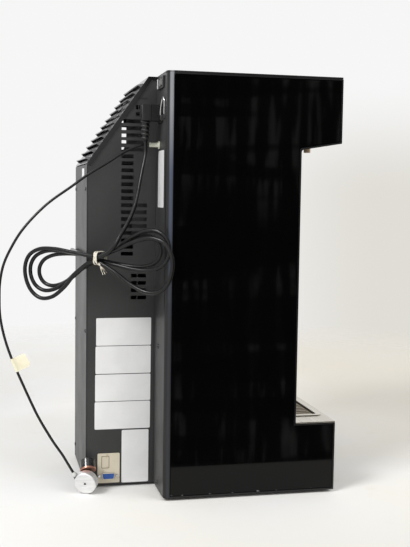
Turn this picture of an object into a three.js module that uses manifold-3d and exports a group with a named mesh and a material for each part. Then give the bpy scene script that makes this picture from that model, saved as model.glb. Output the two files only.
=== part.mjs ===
// A counter-top wine dispenser for three bottles. A cooled glass-fronted cabin stands
// between two gloss side panels, under a head with the spouts and buttons and over a base
// with the drip tray. A louvred housing for the cooling unit stands behind the cabin.
// Millimetres, +Z up. The front faces -Y. The origin is the middle of the footprint, on
// the surface that the dispenser stands on, with the cords left out.

import * as THREE from "three";
import { mergeVertices } from "three/addons/utils/BufferGeometryUtils.js";
import { ConvexGeometry } from "three/addons/geometries/ConvexGeometry.js";
import Module from "manifold-3d";

// Clearances and facets
const seatGap = 0.3; // between neighbouring pieces
const slideGap = 0.5; // round a piece that slides or turns
const restGap = 0.1; // under a piece that lies on the surface
const overrun = 6; // how far a cutter runs past the faces that it cuts
const roundCount = 24; // facets of an ordinary round
const smallRoundCount = 16; // facets of a small round
const cornerSteps = 3; // facets of a rounded corner

// Cabinet, driving sizes
const cabinetWidth = 366;
const cabinetHeight = 650;
const panelDepth = 275; // side panels, front to rear edge
const housingDepth = 109; // cooling housing, behind the panels
const standHeight = 4; // feet, under every sheet
const deckHeight = 114; // top of the base
const columnSetback = 65; // from the front of head and base back to the glass door
const headFrontDrop = 101; // from the cover to the head's underside, at its front edge
const headColumnDrop = 112; // the same, at the door
const bottleCount = 3;
const bottlePitchShare = 0.2623; // of the cabinet's width
const bottleY = -30; // centre line of the bottles
const sheet = 1.5; // steel sheet of covers and housing

// Side panels
const sideThickness = 12; // foam-cored frame with its glass
const glassThickness = 5;
const glassRebate = 5.3; // depth of the seat for the glass
const rimWidth = 2.5; // frame rim round the glass
const rearRimWidth = 10; // frame rim along the rear edge
const rearRound = 8; // radius of the frame's rear edge
const innerRound = 4; // inside corners of the C outline
const outerRound = 1.5; // outside corners of the C outline
const glassBevel = 0.8;

// Covers and base
const coverThickness = 2;
const coverLip = 4; // rear lip over the flange plates
const deckThickness = 2;
const deckTail = 27; // part of the deck that runs under the door
const frontPlate = 3;
const panWall = 20; // upturned edge of the base pan
const footRadius = 14;
const footTaper = 2;
const footInset = 26; // from the pan's corner to the centre of a foot
const footSpigot = 8;

// Drip tray
const traySideBorder = 46; // from the cabinet's side to the opening in the deck
const trayFrontBorder = 13;
const trayOpeningDepth = 44;
const trayRim = 6;
const trayWall = 1.2;
const deckHoleCorner = 0.8; // of the hole under the tray's rim
const trayDepth = 30;
const trayCorner = 4;
const trayLift = 30;
const grilleThickness = 2;
const grilleGap = 3.2; // from the grille to the wall of the tray
const grilleCorner = 8;
const grilleDrop = 2.5; // top of the grille below the rim
const grilleLeg = 4;
const grilleSlotWidth = 5;
const grilleSlotPitch = 11;
const grilleSlotShare = 0.82; // of the grille's depth
const grilleLift = 20;

// Head
const fasciaThickness = 4;
const displaySideBorder = 45; // from the cabinet's side
const displayHeight = 26;
const displayDepth = 1.5;
const displayDrop = 26; // from the cover to the middle of the display
const buttonRadius = 8;
const buttonProud = 1;
const buttonFlange = 2; // flange behind the fascia
const buttonFlangeThickness = 1.5;
const buttonTravel = 1.5;
const buttonSpacing = 30;
const buttonDrop = 63; // from the cover to the buttons
const buttonsPerBottle = 2;
const undersideSheet = 2;
const boardThickness = 1.6;
const boardSideBorder = 33; // from the cabinet's side
const boardHeight = 66;
const boardStandoff = 4.5;
const boardPost = 3.5;
const spoutRadius = 5.5;
const spoutBore = 3.2;
const spoutLength = 38;
const spoutCollar = 9;
const spoutCollarThickness = 4;
const spoutInset = 27; // from the front of the head to the spouts

// Door
const doorThickness = 14;
const doorSetback = 0.5; // front face behind the edges of the side panels
const doorSideGap = 1.3;
const doorFloorGap = 4;
const doorHeadGap = 2.5;
const doorStile = 18;
const doorRail = 20;
const paneThickness = 6;
const paneLap = 4; // pane seated this far over the frame
const pivotInset = 8; // from the side frame to the pivot
const pivotRadius = 3;
const pivotBoss = 5.5;
const gripWidth = 9;
const gripHeight = 90;
const gripDepth = 8;
const gripInset = 5;
const doorOpenDegrees = 92;

// Cabin liner and what stands in it
const linerWall = 18;
const linerRear = 20;
const linerFloor = 10;
const linerRoof = 10;
const linerRearGap = 11.2; // from the liner to the rear of the side panels
const linerFloorGap = 2; // above the deck
const linerRound = 10;
const coldStubWidth = 60;
const coldStubHeight = 44;
const coldRoofGap = 26; // from the cabin's roof to the cooling fins
const coldFinDepth = 20;
const coldFinWidth = 130;
const coldFinHeight = 90;
const coldFinCount = 11;
const coldFinThickness = 2.5;
const coldBase = 5;
const platformShare = 0.4375; // radius of a platform, of the bottles' pitch
const platformThickness = 4;
const platformRim = 3;
const platformRimWall = 3;
const platformRise = 60;
const rodRadius = 7;
const rodLength = 96;
const cylinderRadius = 19;
const cylinderFloor = 4;
const liftPlate = 8;
const liftPlateDepth = 56;
const liftEndMargin = 8;
const headBlockRadius = 20;
const headBlockHeight = 22;
const headNeck = 15;
const stopperTop = 13;
const stopperTip = 9.2;
const stopperHeight = 28;
const stopperRing = 1.2;
const stopperRingCount = 3;
const dipTubeRadius = 3;
const dipTubeRise = 87.7; // from the cabin's floor to the end of the dip tube
const nippleRadius = 5;
const nippleLength = 12;
const valveBarOverhang = 39; // past the centre line of an outer bottle
const valveBarDepth = 30;
const valveBarHeight = 24;
const valveFoot = 12;
const coilRadius = 13;
const coilHeight = 34;
const coilCap = 6;

// Rear flange plates
const flangeLap = 12; // behind the wall of the housing
const inletInset = 40.7; // from the outer edge of the flange plate
const inletDrop = 59.5; // from the cover
const inletWidth = 28;
const inletTall = 24;
const inletBezel = 2.5;
const inletBezelThickness = 2;
const inletBody = 26;
const inletPocket = 12;
const inletWall = 2.5;
const switchInset = 31.7;
const switchDrop = 14;
const switchWidth = 36;
const switchTall = 15;
const switchBezel = 3;
const switchBezelThickness = 2.5;
const switchBody = 16;
const rockerWidth = 29;
const rockerTall = 9;
const rockerThickness = 7;
const rockerTiltDegrees = 7;
const fittingInset = 50.7;
const fittingDrop = 107;
const fittingNut = 8;
const fittingNutThickness = 5;
const fittingBody = 6;
const fittingReach = 16;
const fittingCollet = 4.4;
const fittingColletLength = 3;
const fittingTail = 5;
const fittingTailLength = 12;

// Cooling housing
const housingShare = 0.2541; // half width of the housing, of the cabinet's width
const housingCrown = 13.5; // flat part on top before the slope
const slopeDrop = 136; // from the cover to where the slope meets the rear face
const slotHeight = 6;
const slotPitch = 10.9;
const slotTopDrop = 66.7; // from the cover to the upper edge of the first slot
const slotRear = 138;
const slotMiddle = 118.7;
const slotFront = 97.3;
const lowSlotRear = 121.6;
const lowSlotTopDrop = 308.5;
const lowSlotPitch = 11.6;
const slotRowCount = 20;
const wideRows = [0, 1, 2, 3, 4, 12, 13, 14, 15, 16]; // rows that reach forward
const lowSlotCount = 4;
const knockoutSize = 6.5;
const knockoutRear = 115.9;
const knockoutDrops = [44.5, 55.3];
const returnWidth = 13;
const fanSize = 120;
const fanDepth = 25;
const fanBore = 57;
const fanHub = 20;
const fanStrut = 5;
const fanStrutDepth = 3;
const fanStrutCount = 4;
const fanTipGap = 2.5;
const bladeCount = 7;
const bladeThickness = 1.8;
const bladeChord = 26;
const bladePitchDegrees = 38;
const sinkWidth = 140;
const sinkBottomDrop = 258;
const sinkTopDrop = 50;
const sinkBase = 6;
const sinkGap = 2.2; // from the liner to the heat sink
const sinkFinCount = 15;
const sinkFinThickness = 2;
const sinkFinDepth = 37;

// Louvres on the slope
const louvreCount = 11;
const louvrePitch = 14.1;
const louvreLength = 7;
const louvreRise = 6;
const louvreWallThickness = 1.2;
const louvreInset = 10; // from the side of the housing to the end of a louvre
const louvreRamp = 6; // slope of each end of a louvre, along its width
const louvreMouth = 0.6; // how far the hollow runs out of the open edge
const louvreTopMargin = 11.6; // from the upper end of the slope to the first louvre
const louvreLip = 7;

// Connector plate low on the side of the housing
const plateRear = 173.1;
const plateFront = 137.8;
const plateTop = 54.5;
const plateBottom = 6.5;
const plateThickness = 1.5;
const portRear = 166;
const portFront = 146.5;
const portHeight = 18.6;
const portTall = 9;
const portSlant = 1.6;
const portProud = 5.5;
const portShell = 0.8;
const pinRadius = 0.55;
const pinPitch = 2.3;
const pinRowPitch = 2.2;
const pinDepth = 3;
const pinRowCount = 3;
const pinColumnCount = 5;

// Mains plug, lead and hank
const leadRadius = 3.1;
const plugNose = 14; // part of the plug next to the inlet
const plugElbow = 14;
const plugElbowWidth = 22;
const reliefTop = 6;
const reliefTip = 4.4;
const reliefLength = 30;
const reliefRibCount = 5;
const reliefRib = 0.7;
// Places of the lead from the plug's end down to the hank, each from that end.
const leadStops = [
  [0.4, -0.6, -9.4],
  [-2.7, 0.5, -23.4],
  [-8.4, 5.2, -43.1],
  [-14.9, 10.3, -65],
  [-20.8, 16, -90],
  [-24, 23.5, -111],
  [-25.2, 31.9, -128.2],
  [-25.3, 41, -143.3],
  [-26.3, 49.4, -158.5],
  [-20.5, 61, -171.8],
];
const hankShift = 12.6; // from the inlet to the tie, sideways
const hankBehind = 90.3; // from the rear of the side panels to the tie
const hankDrop = 222.5; // from the inlet down to the tie
const hankTurnDegrees = 233; // heading of the hank's right end, from +X
const hankWaist = 4.1;
const hankLayerPitch = 7.8;
const hankLoopCount = 3;
const hankLoopSteps = 24;
const hankSideCount = 6;
const hankSofteningShare = 0.22;
const hankBendShare = 3; // how soon a lobe takes its tilt
// Half loop by half loop from the outer end, rear and front ones in turn: how far each
// reaches from the tie, how wide it opens, and how far its lobe tilts down.
const hankReaches = [127, 133, 122, 125, 111, 107];
const hankSwells = [97, 102, 75, 72, 56, 54];
const hankTiltsDegrees = [17, 4, 15, -10, 16, -10];
// Places of the lead from the hank round the housing: from its near rear corner, and
// then from its far rear corner, each in height from the tie.
const tailNearStops = [
  [-11.9, -2.5, 4.1],
  [-6.3, 2.8, 4],
  [1, 6.4, 3.8],
  [8.6, 7.5, 3.5],
];
const tailMiddleRise = 2.5;
const tailFarStops = [
  [-9, 6.5, 1],
  [9, -2, -4],
  [19, -17, -16],
  [21, -32, -34],
  [21, -40, -56],
  [21, -42, -70],
];
const wallPlugDrop = 106; // from the tie
const wallPlugRadius = 18;
const wallPlugLength = 36;
const wallPlugRelief = 26;
const wallPinRadius = 2.4;
const wallPinLength = 19;
const wallPinSpacing = 19;

// Gas hose and its pressure regulator
const hoseRadius = 2;
// Places of the hose from the fitting to the regulator, each from the fitting's end: to
// the side, to the rear, and what is left of the height.
const hoseStops = [
  [0, 12.4, 542],
  [-0.5, 36.4, 532],
  [-1, 63.4, 514.5],
  [-2, 94.4, 495],
  [-3, 117.4, 478],
  [-4.5, 156.9, 448.7],
  [-6, 190.9, 412.4],
  [-7, 208.4, 384.4],
  [-8, 219.9, 358.5],
  [-8.5, 225, 333],
  [-9, 226, 308.5],
  [-9.5, 225, 281.3],
  [-10, 218.9, 250],
  [-11, 208.2, 217],
  [-12, 192.4, 179],
  [-13, 170.4, 130],
  [-14, 160.1, 110.9],
  [-13, 154, 100.3],
  [-10, 146.9, 87.9],
  [-4, 138.9, 74.7],
  [3, 130.6, 61.4],
  [10, 122.3, 46],
  [16.4, 114, 30.8],
];
const hoseDrawnHeight = 543; // of the fitting, for the heights above
const regulatorTiltDegrees = 12;
const regulatorHeadingDegrees = 24; // from +X towards the front
const knobRadius = 17.5;
const knobLength = 14;
const knobChamfer = 1.2;
const knobHole = 2;
const knobHoleDepth = 8;
const knobOut = 35.5; // from the side of the housing to the middle of the knob's face
const knobBehind = 4.5; // from the rear of the housing
const neckRadius = 7;
const neckReach = 9.5; // behind the knob
const neckBottom = 16;
const neckTop = 36;
const barrelFoot = [14.7, -6.5, 17.2]; // from the middle of the knob's face
const barrelTiltDegrees = 50;
const barrelRadius = 11.8;
const barrelLength = 16;
const collarRadius = 12.4;
const collarLength = 3;
const portRadius = 4;
const portCorner = [25.5, 8, -0.3]; // the elbow's corner, from the knob's face
const portWay = [0, 6.3, 9.5]; // from the corner to the end of the hose
const portCornerRadius = 4.5;

// Derived places
const halfWidth = cabinetWidth / 2;
const bottlePitch = cabinetWidth * bottlePitchShare;
const housingHalfWidth = cabinetWidth * housingShare;
const headFrontHeight = cabinetHeight - headFrontDrop;
const headColumnHeight = cabinetHeight - headColumnDrop;
const frontY = -(panelDepth + housingDepth) / 2;
const panelRearY = frontY + panelDepth;
const housingRearY = panelRearY + housingDepth;
const columnY = frontY + columnSetback;
const innerHalf = halfWidth - sideThickness;
const plateHalf = innerHalf - seatGap;
const coverZ = cabinetHeight - coverThickness;
const sideTop = coverZ - seatGap;
const deckUnderZ = deckHeight - deckThickness;
const baseSideTop = deckUnderZ - seatGap;
const headSlope = (headFrontHeight - headColumnHeight) / columnSetback;
const pivotX = innerHalf - pivotInset;
const doorFrontY = columnY + doorSetback;
const doorMidY = doorFrontY + doorThickness / 2;
const doorRearY = doorFrontY + doorThickness;
const doorBottom = deckHeight + doorFloorGap;
const doorTop = headColumnHeight - doorHeadGap;
const linerFrontY = doorRearY + seatGap;
const linerRearY = panelRearY - linerRearGap;
const linerBottom = deckHeight + linerFloorGap;
const linerTop = headColumnHeight - linerFloorGap;
const cabinFloor = linerBottom + linerFloor;
const cabinRoof = linerTop - linerRoof;
const slopeTopY = panelRearY + housingCrown;
const slopeFoot = cabinetHeight - slopeDrop;
const slotTop = cabinetHeight - slotTopDrop;
const lowSlotTop = cabinetHeight - lowSlotTopDrop;
const coldHeight = cabinRoof - coldRoofGap - coldFinHeight / 2; // middle of the module
const sinkFront = linerRearY + sinkGap;
const trayOpeningWidth = cabinetWidth - 2 * traySideBorder;
const displayWidth = cabinetWidth - 2 * displaySideBorder;
const boardWidth = cabinetWidth - 2 * boardSideBorder;
const platformRadius = bottlePitch * platformShare;
const inletX = -(plateHalf - inletInset);
const inletHeight = cabinetHeight - inletDrop;
const switchX = -(plateHalf - switchInset);
const switchHeight = cabinetHeight - switchDrop;
const fittingX = -(plateHalf - fittingInset);
const fittingHeight = cabinetHeight - fittingDrop;
const panTop = standHeight + sheet;
const spoutY = frontY + spoutInset;

const wasm = await Module();
wasm.setup();

// Solids

// A closed geometry as a solid that can be joined and cut.
function solid(geometry) {
  geometry.deleteAttribute("normal");
  geometry.deleteAttribute("uv");
  const merged = mergeVertices(geometry, 1e-4);
  return new wasm.Manifold(
    new wasm.Mesh({
      numProp: 3,
      vertProperties: merged.attributes.position.array,
      triVerts: new Uint32Array(merged.index.array),
    }),
  );
}

// The geometry of a solid, with flat faces.
function geometryOf(body) {
  const mesh = body.getMesh();
  const step = mesh.numProp;
  const places = new Float32Array(mesh.numVert * 3);
  for (let i = 0; i < mesh.numVert; i++) {
    places.set(mesh.vertProperties.subarray(i * step, i * step + 3), i * 3);
  }
  const indexed = new THREE.BufferGeometry();
  indexed.setAttribute("position", new THREE.BufferAttribute(places, 3));
  indexed.setIndex(new THREE.BufferAttribute(new Uint32Array(mesh.triVerts), 1));
  const flat = indexed.toNonIndexed();
  flat.computeVertexNormals();
  return flat;
}

const join = (first, ...others) => others.reduce((a, b) => a.add(b), first);
const cut = (first, ...tools) => tools.reduce((a, b) => a.subtract(b), first);

// A box between two values on each axis.
function box(x, y, z) {
  const geometry = new THREE.BoxGeometry(x[1] - x[0], y[1] - y[0], z[1] - z[0]);
  geometry.translate((x[0] + x[1]) / 2, (y[0] + y[1]) / 2, (z[0] + z[1]) / 2);
  return solid(geometry);
}

// Turns a body made along local Z so that its length lies along another axis. An outline
// for x is drawn in (y, z), one for y in (x, z) and one for z in (x, y).
function layAlong(geometry, axis) {
  const turn = new THREE.Matrix4();
  if (axis === "x") turn.set(0, 0, 1, 0, 1, 0, 0, 0, 0, 1, 0, 0, 0, 0, 0, 1);
  if (axis === "y") turn.set(1, 0, 0, 0, 0, 0, -1, 0, 0, 1, 0, 0, 0, 0, 0, 1);
  return geometry.applyMatrix4(turn);
}

// An outline drawn across an axis and drawn out from one value to another along it.
function prism(points, axis, from, to, bevel = 0) {
  const shape = new THREE.Shape(points.map(([a, b]) => new THREE.Vector2(a, b)));
  const geometry = new THREE.ExtrudeGeometry(shape, {
    depth: to - from - 2 * bevel,
    steps: 1,
    bevelEnabled: bevel > 0,
    bevelThickness: bevel,
    bevelSize: bevel,
    bevelOffset: -bevel,
    bevelSegments: 1,
  });
  geometry.translate(0, 0, axis === "y" ? -to + bevel : from + bevel);
  return solid(layAlong(geometry, axis));
}

// A profile of [radius, height] pairs turned round an axis through a centre.
function turned(profile, axis, centre, count = roundCount) {
  const points = profile.map(([r, h]) => new THREE.Vector2(r, h));
  const geometry = new THREE.LatheGeometry(points, count);
  const upright = new THREE.Matrix4();
  upright.set(1, 0, 0, 0, 0, 0, -1, 0, 0, 1, 0, 0, 0, 0, 0, 1);
  geometry.applyMatrix4(upright);
  const lay = new THREE.Matrix4();
  if (axis === "x") lay.set(0, 0, 1, 0, 1, 0, 0, 0, 0, 1, 0, 0, 0, 0, 0, 1);
  if (axis === "y") lay.set(0, 1, 0, 0, 0, 0, 1, 0, 1, 0, 0, 0, 0, 0, 0, 1);
  geometry.applyMatrix4(lay);
  geometry.translate(...centre);
  return solid(geometry);
}

// A plain round bar from one value to another along an axis.
function bar(radius, axis, centre, from, to, count = roundCount) {
  const profile = [
    [0, from],
    [radius, from],
    [radius, to],
    [0, to],
  ];
  return turned(profile, axis, centre, count);
}

// The corners of a rectangle in the plane of an outline.
const rectangle = (a, b) => [
  [a[0], b[0]],
  [a[1], b[0]],
  [a[1], b[1]],
  [a[0], b[1]],
];

// An outline whose corners are rounded, each by its own radius.
function rounded(points, radii, steps = cornerSteps) {
  const out = [];
  points.forEach(([x, y], i) => {
    const radius = Array.isArray(radii) ? radii[i] : radii;
    const before = points[(i + points.length - 1) % points.length];
    const after = points[(i + 1) % points.length];
    if (!radius) {
      out.push([x, y]);
      return;
    }
    const corner = new THREE.Vector2(x, y);
    const toBefore = new THREE.Vector2(...before).sub(corner).normalize();
    const toAfter = new THREE.Vector2(...after).sub(corner).normalize();
    const half = Math.acos(toBefore.dot(toAfter)) / 2;
    const reach = radius / Math.tan(half);
    const middle = toBefore.clone().add(toAfter).normalize();
    const centre = corner.clone().addScaledVector(middle, radius / Math.sin(half));
    const start = corner.clone().addScaledVector(toBefore, reach).sub(centre);
    const end = corner.clone().addScaledVector(toAfter, reach).sub(centre);
    const sweep = Math.atan2(start.cross(end), start.dot(end));
    for (let k = 0; k <= steps; k++) {
      const turn = (sweep * k) / steps;
      const at = start.clone().rotateAround(new THREE.Vector2(), turn).add(centre);
      out.push([at.x, at.y]);
    }
  });
  return out;
}

// Materials, by what the pieces are made of
const finish = (color, roughness, metalness) => ({ color, roughness, metalness });
const finishes = {
  glossBlack: finish(0x070708, 0.05, 0),
  frameBlack: finish(0x3a3b3d, 0.35, 0.3),
  charcoalSheet: finish(0x414143, 0.6, 0.2),
  satinBlack: finish(0x1c1c1e, 0.45, 0.1),
  stainless: finish(0xb9b9b4, 0.28, 1),
  aluminium: finish(0xc9cac9, 0.38, 1),
  rubber: finish(0x151515, 0.8, 0),
  blackPlastic: finish(0x1a1a1a, 0.5, 0),
  greyPlastic: finish(0x9a9b9c, 0.45, 0),
  linerGrey: finish(0x55575a, 0.5, 0),
  beigePlate: finish(0xd9d2bd, 0.55, 0),
  bluePlastic: finish(0x2f5bb0, 0.45, 0),
  creamPlastic: finish(0xd8cfb4, 0.5, 0),
  boardGreen: finish(0x1f5a36, 0.6, 0),
  clearGlass: finish(0x9fb0b0, 0.05, 0),
  smokedGlass: finish(0x17191c, 0.08, 0),
  silicone: finish(0x7b3c34, 0.7, 0),
};

const dispenser = new THREE.Group();

// Puts a finished solid into a group as a named piece.
function add(group, name, body, kind) {
  const mesh = new THREE.Mesh(geometryOf(body), new THREE.MeshStandardMaterial(kind));
  mesh.name = name;
  group.add(mesh);
  return mesh;
}

const sides = [
  ["left", -1],
  ["right", 1],
];
const both = (half) => [-half, half];
const radians = (degrees) => (degrees * Math.PI) / 180;

// The same pair of values on the other side of the middle plane.
const mirrored = (sign, a, b) => (sign < 0 ? [-b, -a] : [a, b]);

// Height of the head's underside at a distance from front to rear.
const headUnderZ = (y) => headColumnHeight + (columnY - y) * headSlope;

// Side frames and glass

// The C outline of a side panel in (y, z), drawn in by a rim.
function sideOutline(rim, rearRim) {
  const front = frontY + rim;
  const column = columnY + rim;
  const corners = [
    [panelRearY - rearRim, standHeight + rim],
    [panelRearY - rearRim, sideTop - rim],
    [front, sideTop - rim],
    [front, headUnderZ(front) + rim],
    [column, headUnderZ(column) + rim],
    [column, baseSideTop - rim],
    [front, baseSideTop - rim],
    [front, standHeight + rim],
  ];
  const radii = [
    outerRound,
    outerRound,
    outerRound,
    outerRound,
    innerRound,
    0,
    0,
    outerRound,
  ];
  return rounded(corners, radii);
}

// A cutter that rounds an upright edge of a given radius, in the corner at (x, y).
function uprightRound(x, y, radius, signX, signY) {
  const corner = [x, y];
  const centre = [x - signX * radius, y - signY * radius];
  const points = [
    [corner[0] + signX * overrun, corner[1] + signY * overrun],
    [centre[0], corner[1] + signY * overrun],
  ];
  const steps = 2 * cornerSteps;
  for (let k = 0; k <= steps; k++) {
    const turn = ((Math.PI / 2) * k) / steps;
    points.push([
      centre[0] + signX * radius * Math.sin(turn),
      centre[1] + signY * radius * Math.cos(turn),
    ]);
  }
  points.push([corner[0] + signX * overrun, centre[1]]);
  const ordered = signX * signY > 0 ? points : points.reverse();
  return prism(ordered, "z", -overrun, cabinetHeight + overrun);
}

function sideFrame(sign) {
  const span = mirrored(sign, innerHalf, halfWidth);
  const seat = mirrored(sign, halfWidth - glassRebate, halfWidth + overrun);
  const frame = prism(sideOutline(0, 0), "x", ...span);
  const rebate = prism(sideOutline(rimWidth, rearRimWidth), "x", ...seat);
  const rear = uprightRound(sign * halfWidth, panelRearY, rearRound, sign, 1);
  return cut(frame, rebate, rear);
}

function sideGlass(sign) {
  const inner = halfWidth - glassRebate + seatGap;
  const span = mirrored(sign, inner, inner + glassThickness - seatGap);
  const outline = sideOutline(rimWidth + seatGap, rearRimWidth + seatGap);
  return prism(outline, "x", ...span, glassBevel);
}

const cabinet = new THREE.Group();
dispenser.add(cabinet);
for (const [side, sign] of sides) {
  add(cabinet, `side_frame_${side}`, sideFrame(sign), finishes.frameBlack);
  add(cabinet, `side_glass_${side}`, sideGlass(sign), finishes.glossBlack);
}

// Covers, deck and base

function topCover() {
  const plan = rounded(rectangle(both(halfWidth), [frontY, panelRearY]), [
    outerRound,
    outerRound,
    rearRound,
    rearRound,
  ]);
  const plate = prism(plan, "z", coverZ, cabinetHeight);
  const lip = box(
    both(plateHalf),
    [panelRearY - sheet, panelRearY],
    [coverZ - coverLip, coverZ],
  );
  return join(plate, lip);
}

function baseDeck() {
  const plan = [
    [-halfWidth, frontY],
    [halfWidth, frontY],
    [halfWidth, columnY - seatGap],
    [plateHalf, columnY - seatGap],
    [plateHalf, columnY + deckTail],
    [-plateHalf, columnY + deckTail],
    [-plateHalf, columnY - seatGap],
    [-halfWidth, columnY - seatGap],
  ];
  const plate = prism(plan, "z", deckUnderZ, deckHeight);
  const opening = trayOutline(0, deckHoleCorner);
  const hole = prism(opening, "z", deckUnderZ - overrun, deckHeight + overrun);
  const pivot = bar(
    pivotRadius + slideGap,
    "z",
    [pivotX, doorMidY, 0],
    deckUnderZ - overrun,
    deckHeight + overrun,
    smallRoundCount,
  );
  return cut(plate, hole, pivot);
}

// Outline of the tray's opening in the deck, grown by a margin.
function trayOutline(margin, corner = trayCorner + Math.max(margin, 0)) {
  const front = frontY + trayFrontBorder;
  return rounded(
    rectangle(both(trayOpeningWidth / 2 + margin), [
      front - margin,
      front + trayOpeningDepth + margin,
    ]),
    corner,
  );
}

function basePan() {
  const outline = rectangle(both(plateHalf), [
    frontY + frontPlate + seatGap,
    panelRearY - sheet - seatGap,
  ]);
  const [[left, front], , [right, rear]] = outline;
  const shell = prism(outline, "z", standHeight, standHeight + panWall);
  const inside = box(
    [left + sheet, right - sheet],
    [front + sheet, rear - sheet],
    [panTop, standHeight + panWall + overrun],
  );
  const feet = [];
  for (const x of [left + footInset, right - footInset]) {
    for (const y of [front + footInset, rear - footInset]) {
      const profile = [
        [0, 0],
        [footRadius - footTaper, 0],
        [footRadius, footTaper],
        [footRadius, standHeight],
        [footSpigot, standHeight],
        [footSpigot, panTop + footTaper],
        [0, panTop + footTaper],
      ];
      feet.push(turned(profile, "z", [x, y, 0], smallRoundCount));
    }
  }
  return join(cut(shell, inside), ...feet);
}

function baseFront() {
  const plate = box(
    both(plateHalf),
    [frontY, frontY + frontPlate],
    [standHeight, baseSideTop],
  );
  const returnLip = box(
    both(plateHalf - panWall),
    [frontY + frontPlate - seatGap, frontY + panWall],
    [baseSideTop - frontPlate, baseSideTop],
  );
  const opening = prism(trayOutline(slideGap), "z", standHeight, deckHeight);
  return join(plate, cut(returnLip, opening));
}

add(cabinet, "top_cover", topCover(), finishes.frameBlack);
add(cabinet, "base_deck", baseDeck(), finishes.stainless);
add(cabinet, "base_pan", basePan(), finishes.satinBlack);
add(cabinet, "base_front", baseFront(), finishes.glossBlack);

// Drip tray and grille

function dripTray() {
  const floorZ = deckHeight + seatGap + trayWall - trayDepth;
  const rimTop = deckHeight + seatGap + trayWall;
  const rim = prism(trayOutline(trayRim), "z", deckHeight + seatGap, rimTop);
  const well = prism(trayOutline(-slideGap), "z", floorZ, rimTop);
  const inside = trayOutline(-slideGap - trayWall);
  const hollow = prism(inside, "z", floorZ + trayWall, rimTop + overrun);
  return cut(join(rim, well), hollow);
}

function dripGrille() {
  const top = deckHeight + seatGap + trayWall - grilleDrop;
  const trayFloor = deckHeight + seatGap + 2 * trayWall - trayDepth;
  const inset = slideGap + trayWall + grilleGap;
  const outline = trayOutline(-inset, grilleCorner);
  const plate = prism(outline, "z", top - grilleThickness, top);
  const legX = trayOpeningWidth / 2 - inset - grilleLeg;
  const halfRun = legX - grilleSlotPitch;
  const count = Math.floor((2 * halfRun) / grilleSlotPitch);
  const midY = frontY + trayFrontBorder + trayOpeningDepth / 2;
  const halfSlot = (trayOpeningDepth * grilleSlotShare) / 2 - grilleSlotWidth / 2;
  const slots = [];
  for (let i = 0; i <= count; i++) {
    const x = (i - count / 2) * grilleSlotPitch;
    const shape = rectangle(both(grilleSlotWidth / 2), both(halfSlot));
    const placed = shape.map(([a, b]) => [a + x, b + midY]);
    slots.push(prism(placed, "z", top - grilleThickness - overrun, top + overrun));
  }
  const legHalf = halfSlot + grilleSlotWidth / 4;
  const legs = [-1, 1].map((sign) => {
    return box(
      [sign * legX - grilleLeg / 2, sign * legX + grilleLeg / 2],
      [midY - legHalf, midY + legHalf],
      [trayFloor + seatGap, top - grilleThickness / 2],
    );
  });
  return join(cut(plate, ...slots), ...legs);
}

const trayGroup = new THREE.Group();
dispenser.add(trayGroup);
add(trayGroup, "drip_tray", dripTray(), finishes.stainless);
add(trayGroup, "drip_grille", dripGrille(), finishes.stainless);

// Head: fascia, display, buttons, spouts

const bottleX = (i) => (i - (bottleCount - 1) / 2) * bottlePitch;
const valveBarWidth = 2 * (bottleX(bottleCount - 1) + valveBarOverhang);
const buttonX = (i, k) => bottleX(i) + (k - (buttonsPerBottle - 1) / 2) * buttonSpacing;
const buttonZ = cabinetHeight - buttonDrop;
const displayZ = cabinetHeight - displayDrop;

function headFascia() {
  const bottom = headUnderZ(frontY) + undersideSheet + seatGap;
  const plate = box(both(plateHalf), [frontY, frontY + fasciaThickness], [bottom, sideTop]);
  const pocket = box(
    both(displayWidth / 2 + seatGap),
    [frontY - overrun, frontY + displayDepth],
    [displayZ - displayHeight / 2 - seatGap, displayZ + displayHeight / 2 + seatGap],
  );
  const holes = [];
  for (let i = 0; i < bottleCount; i++) {
    for (let k = 0; k < buttonsPerBottle; k++) {
      holes.push(
        bar(
          buttonRadius + slideGap,
          "y",
          [buttonX(i, k), 0, buttonZ],
          frontY - overrun,
          frontY + fasciaThickness + overrun,
        ),
      );
    }
  }
  return cut(plate, pocket, ...holes);
}

function display() {
  const outline = rounded(
    rectangle(both(displayWidth / 2), [
      displayZ - displayHeight / 2,
      displayZ + displayHeight / 2,
    ]),
    outerRound,
  );
  return prism(outline, "y", frontY, frontY + displayDepth - seatGap);
}

function button(x) {
  const face = frontY - buttonProud;
  const behind = frontY + fasciaThickness + seatGap;
  const profile = [
    [0, face],
    [buttonRadius - buttonProud, face],
    [buttonRadius, face + buttonProud / 2],
    [buttonRadius, behind],
    [buttonRadius + buttonFlange, behind],
    [buttonRadius + buttonFlange, behind + buttonFlangeThickness],
    [0, behind + buttonFlangeThickness],
  ];
  return turned(profile, "y", [x, 0, buttonZ]);
}

function headUnderside() {
  const rear = columnY + deckTail;
  const front = frontY;
  const profile = [
    [front, headUnderZ(front)],
    [columnY, headColumnHeight],
    [rear, headColumnHeight],
    [rear, headColumnHeight + undersideSheet],
    [columnY, headColumnHeight + undersideSheet],
    [front, headUnderZ(front) + undersideSheet],
  ];
  const plate = prism(profile, "x", -plateHalf, plateHalf);
  const holes = [];
  for (let i = 0; i < bottleCount; i++) {
    holes.push(
      bar(
        spoutRadius + seatGap,
        "z",
        [bottleX(i), spoutY, 0],
        headColumnHeight - overrun,
        headFrontHeight + overrun,
      ),
    );
  }
  const pivot = bar(
    pivotRadius + slideGap,
    "z",
    [pivotX, doorMidY, 0],
    headColumnHeight - overrun,
    headColumnHeight + undersideSheet + overrun,
    smallRoundCount,
  );
  return cut(plate, pivot, ...holes);
}

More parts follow.
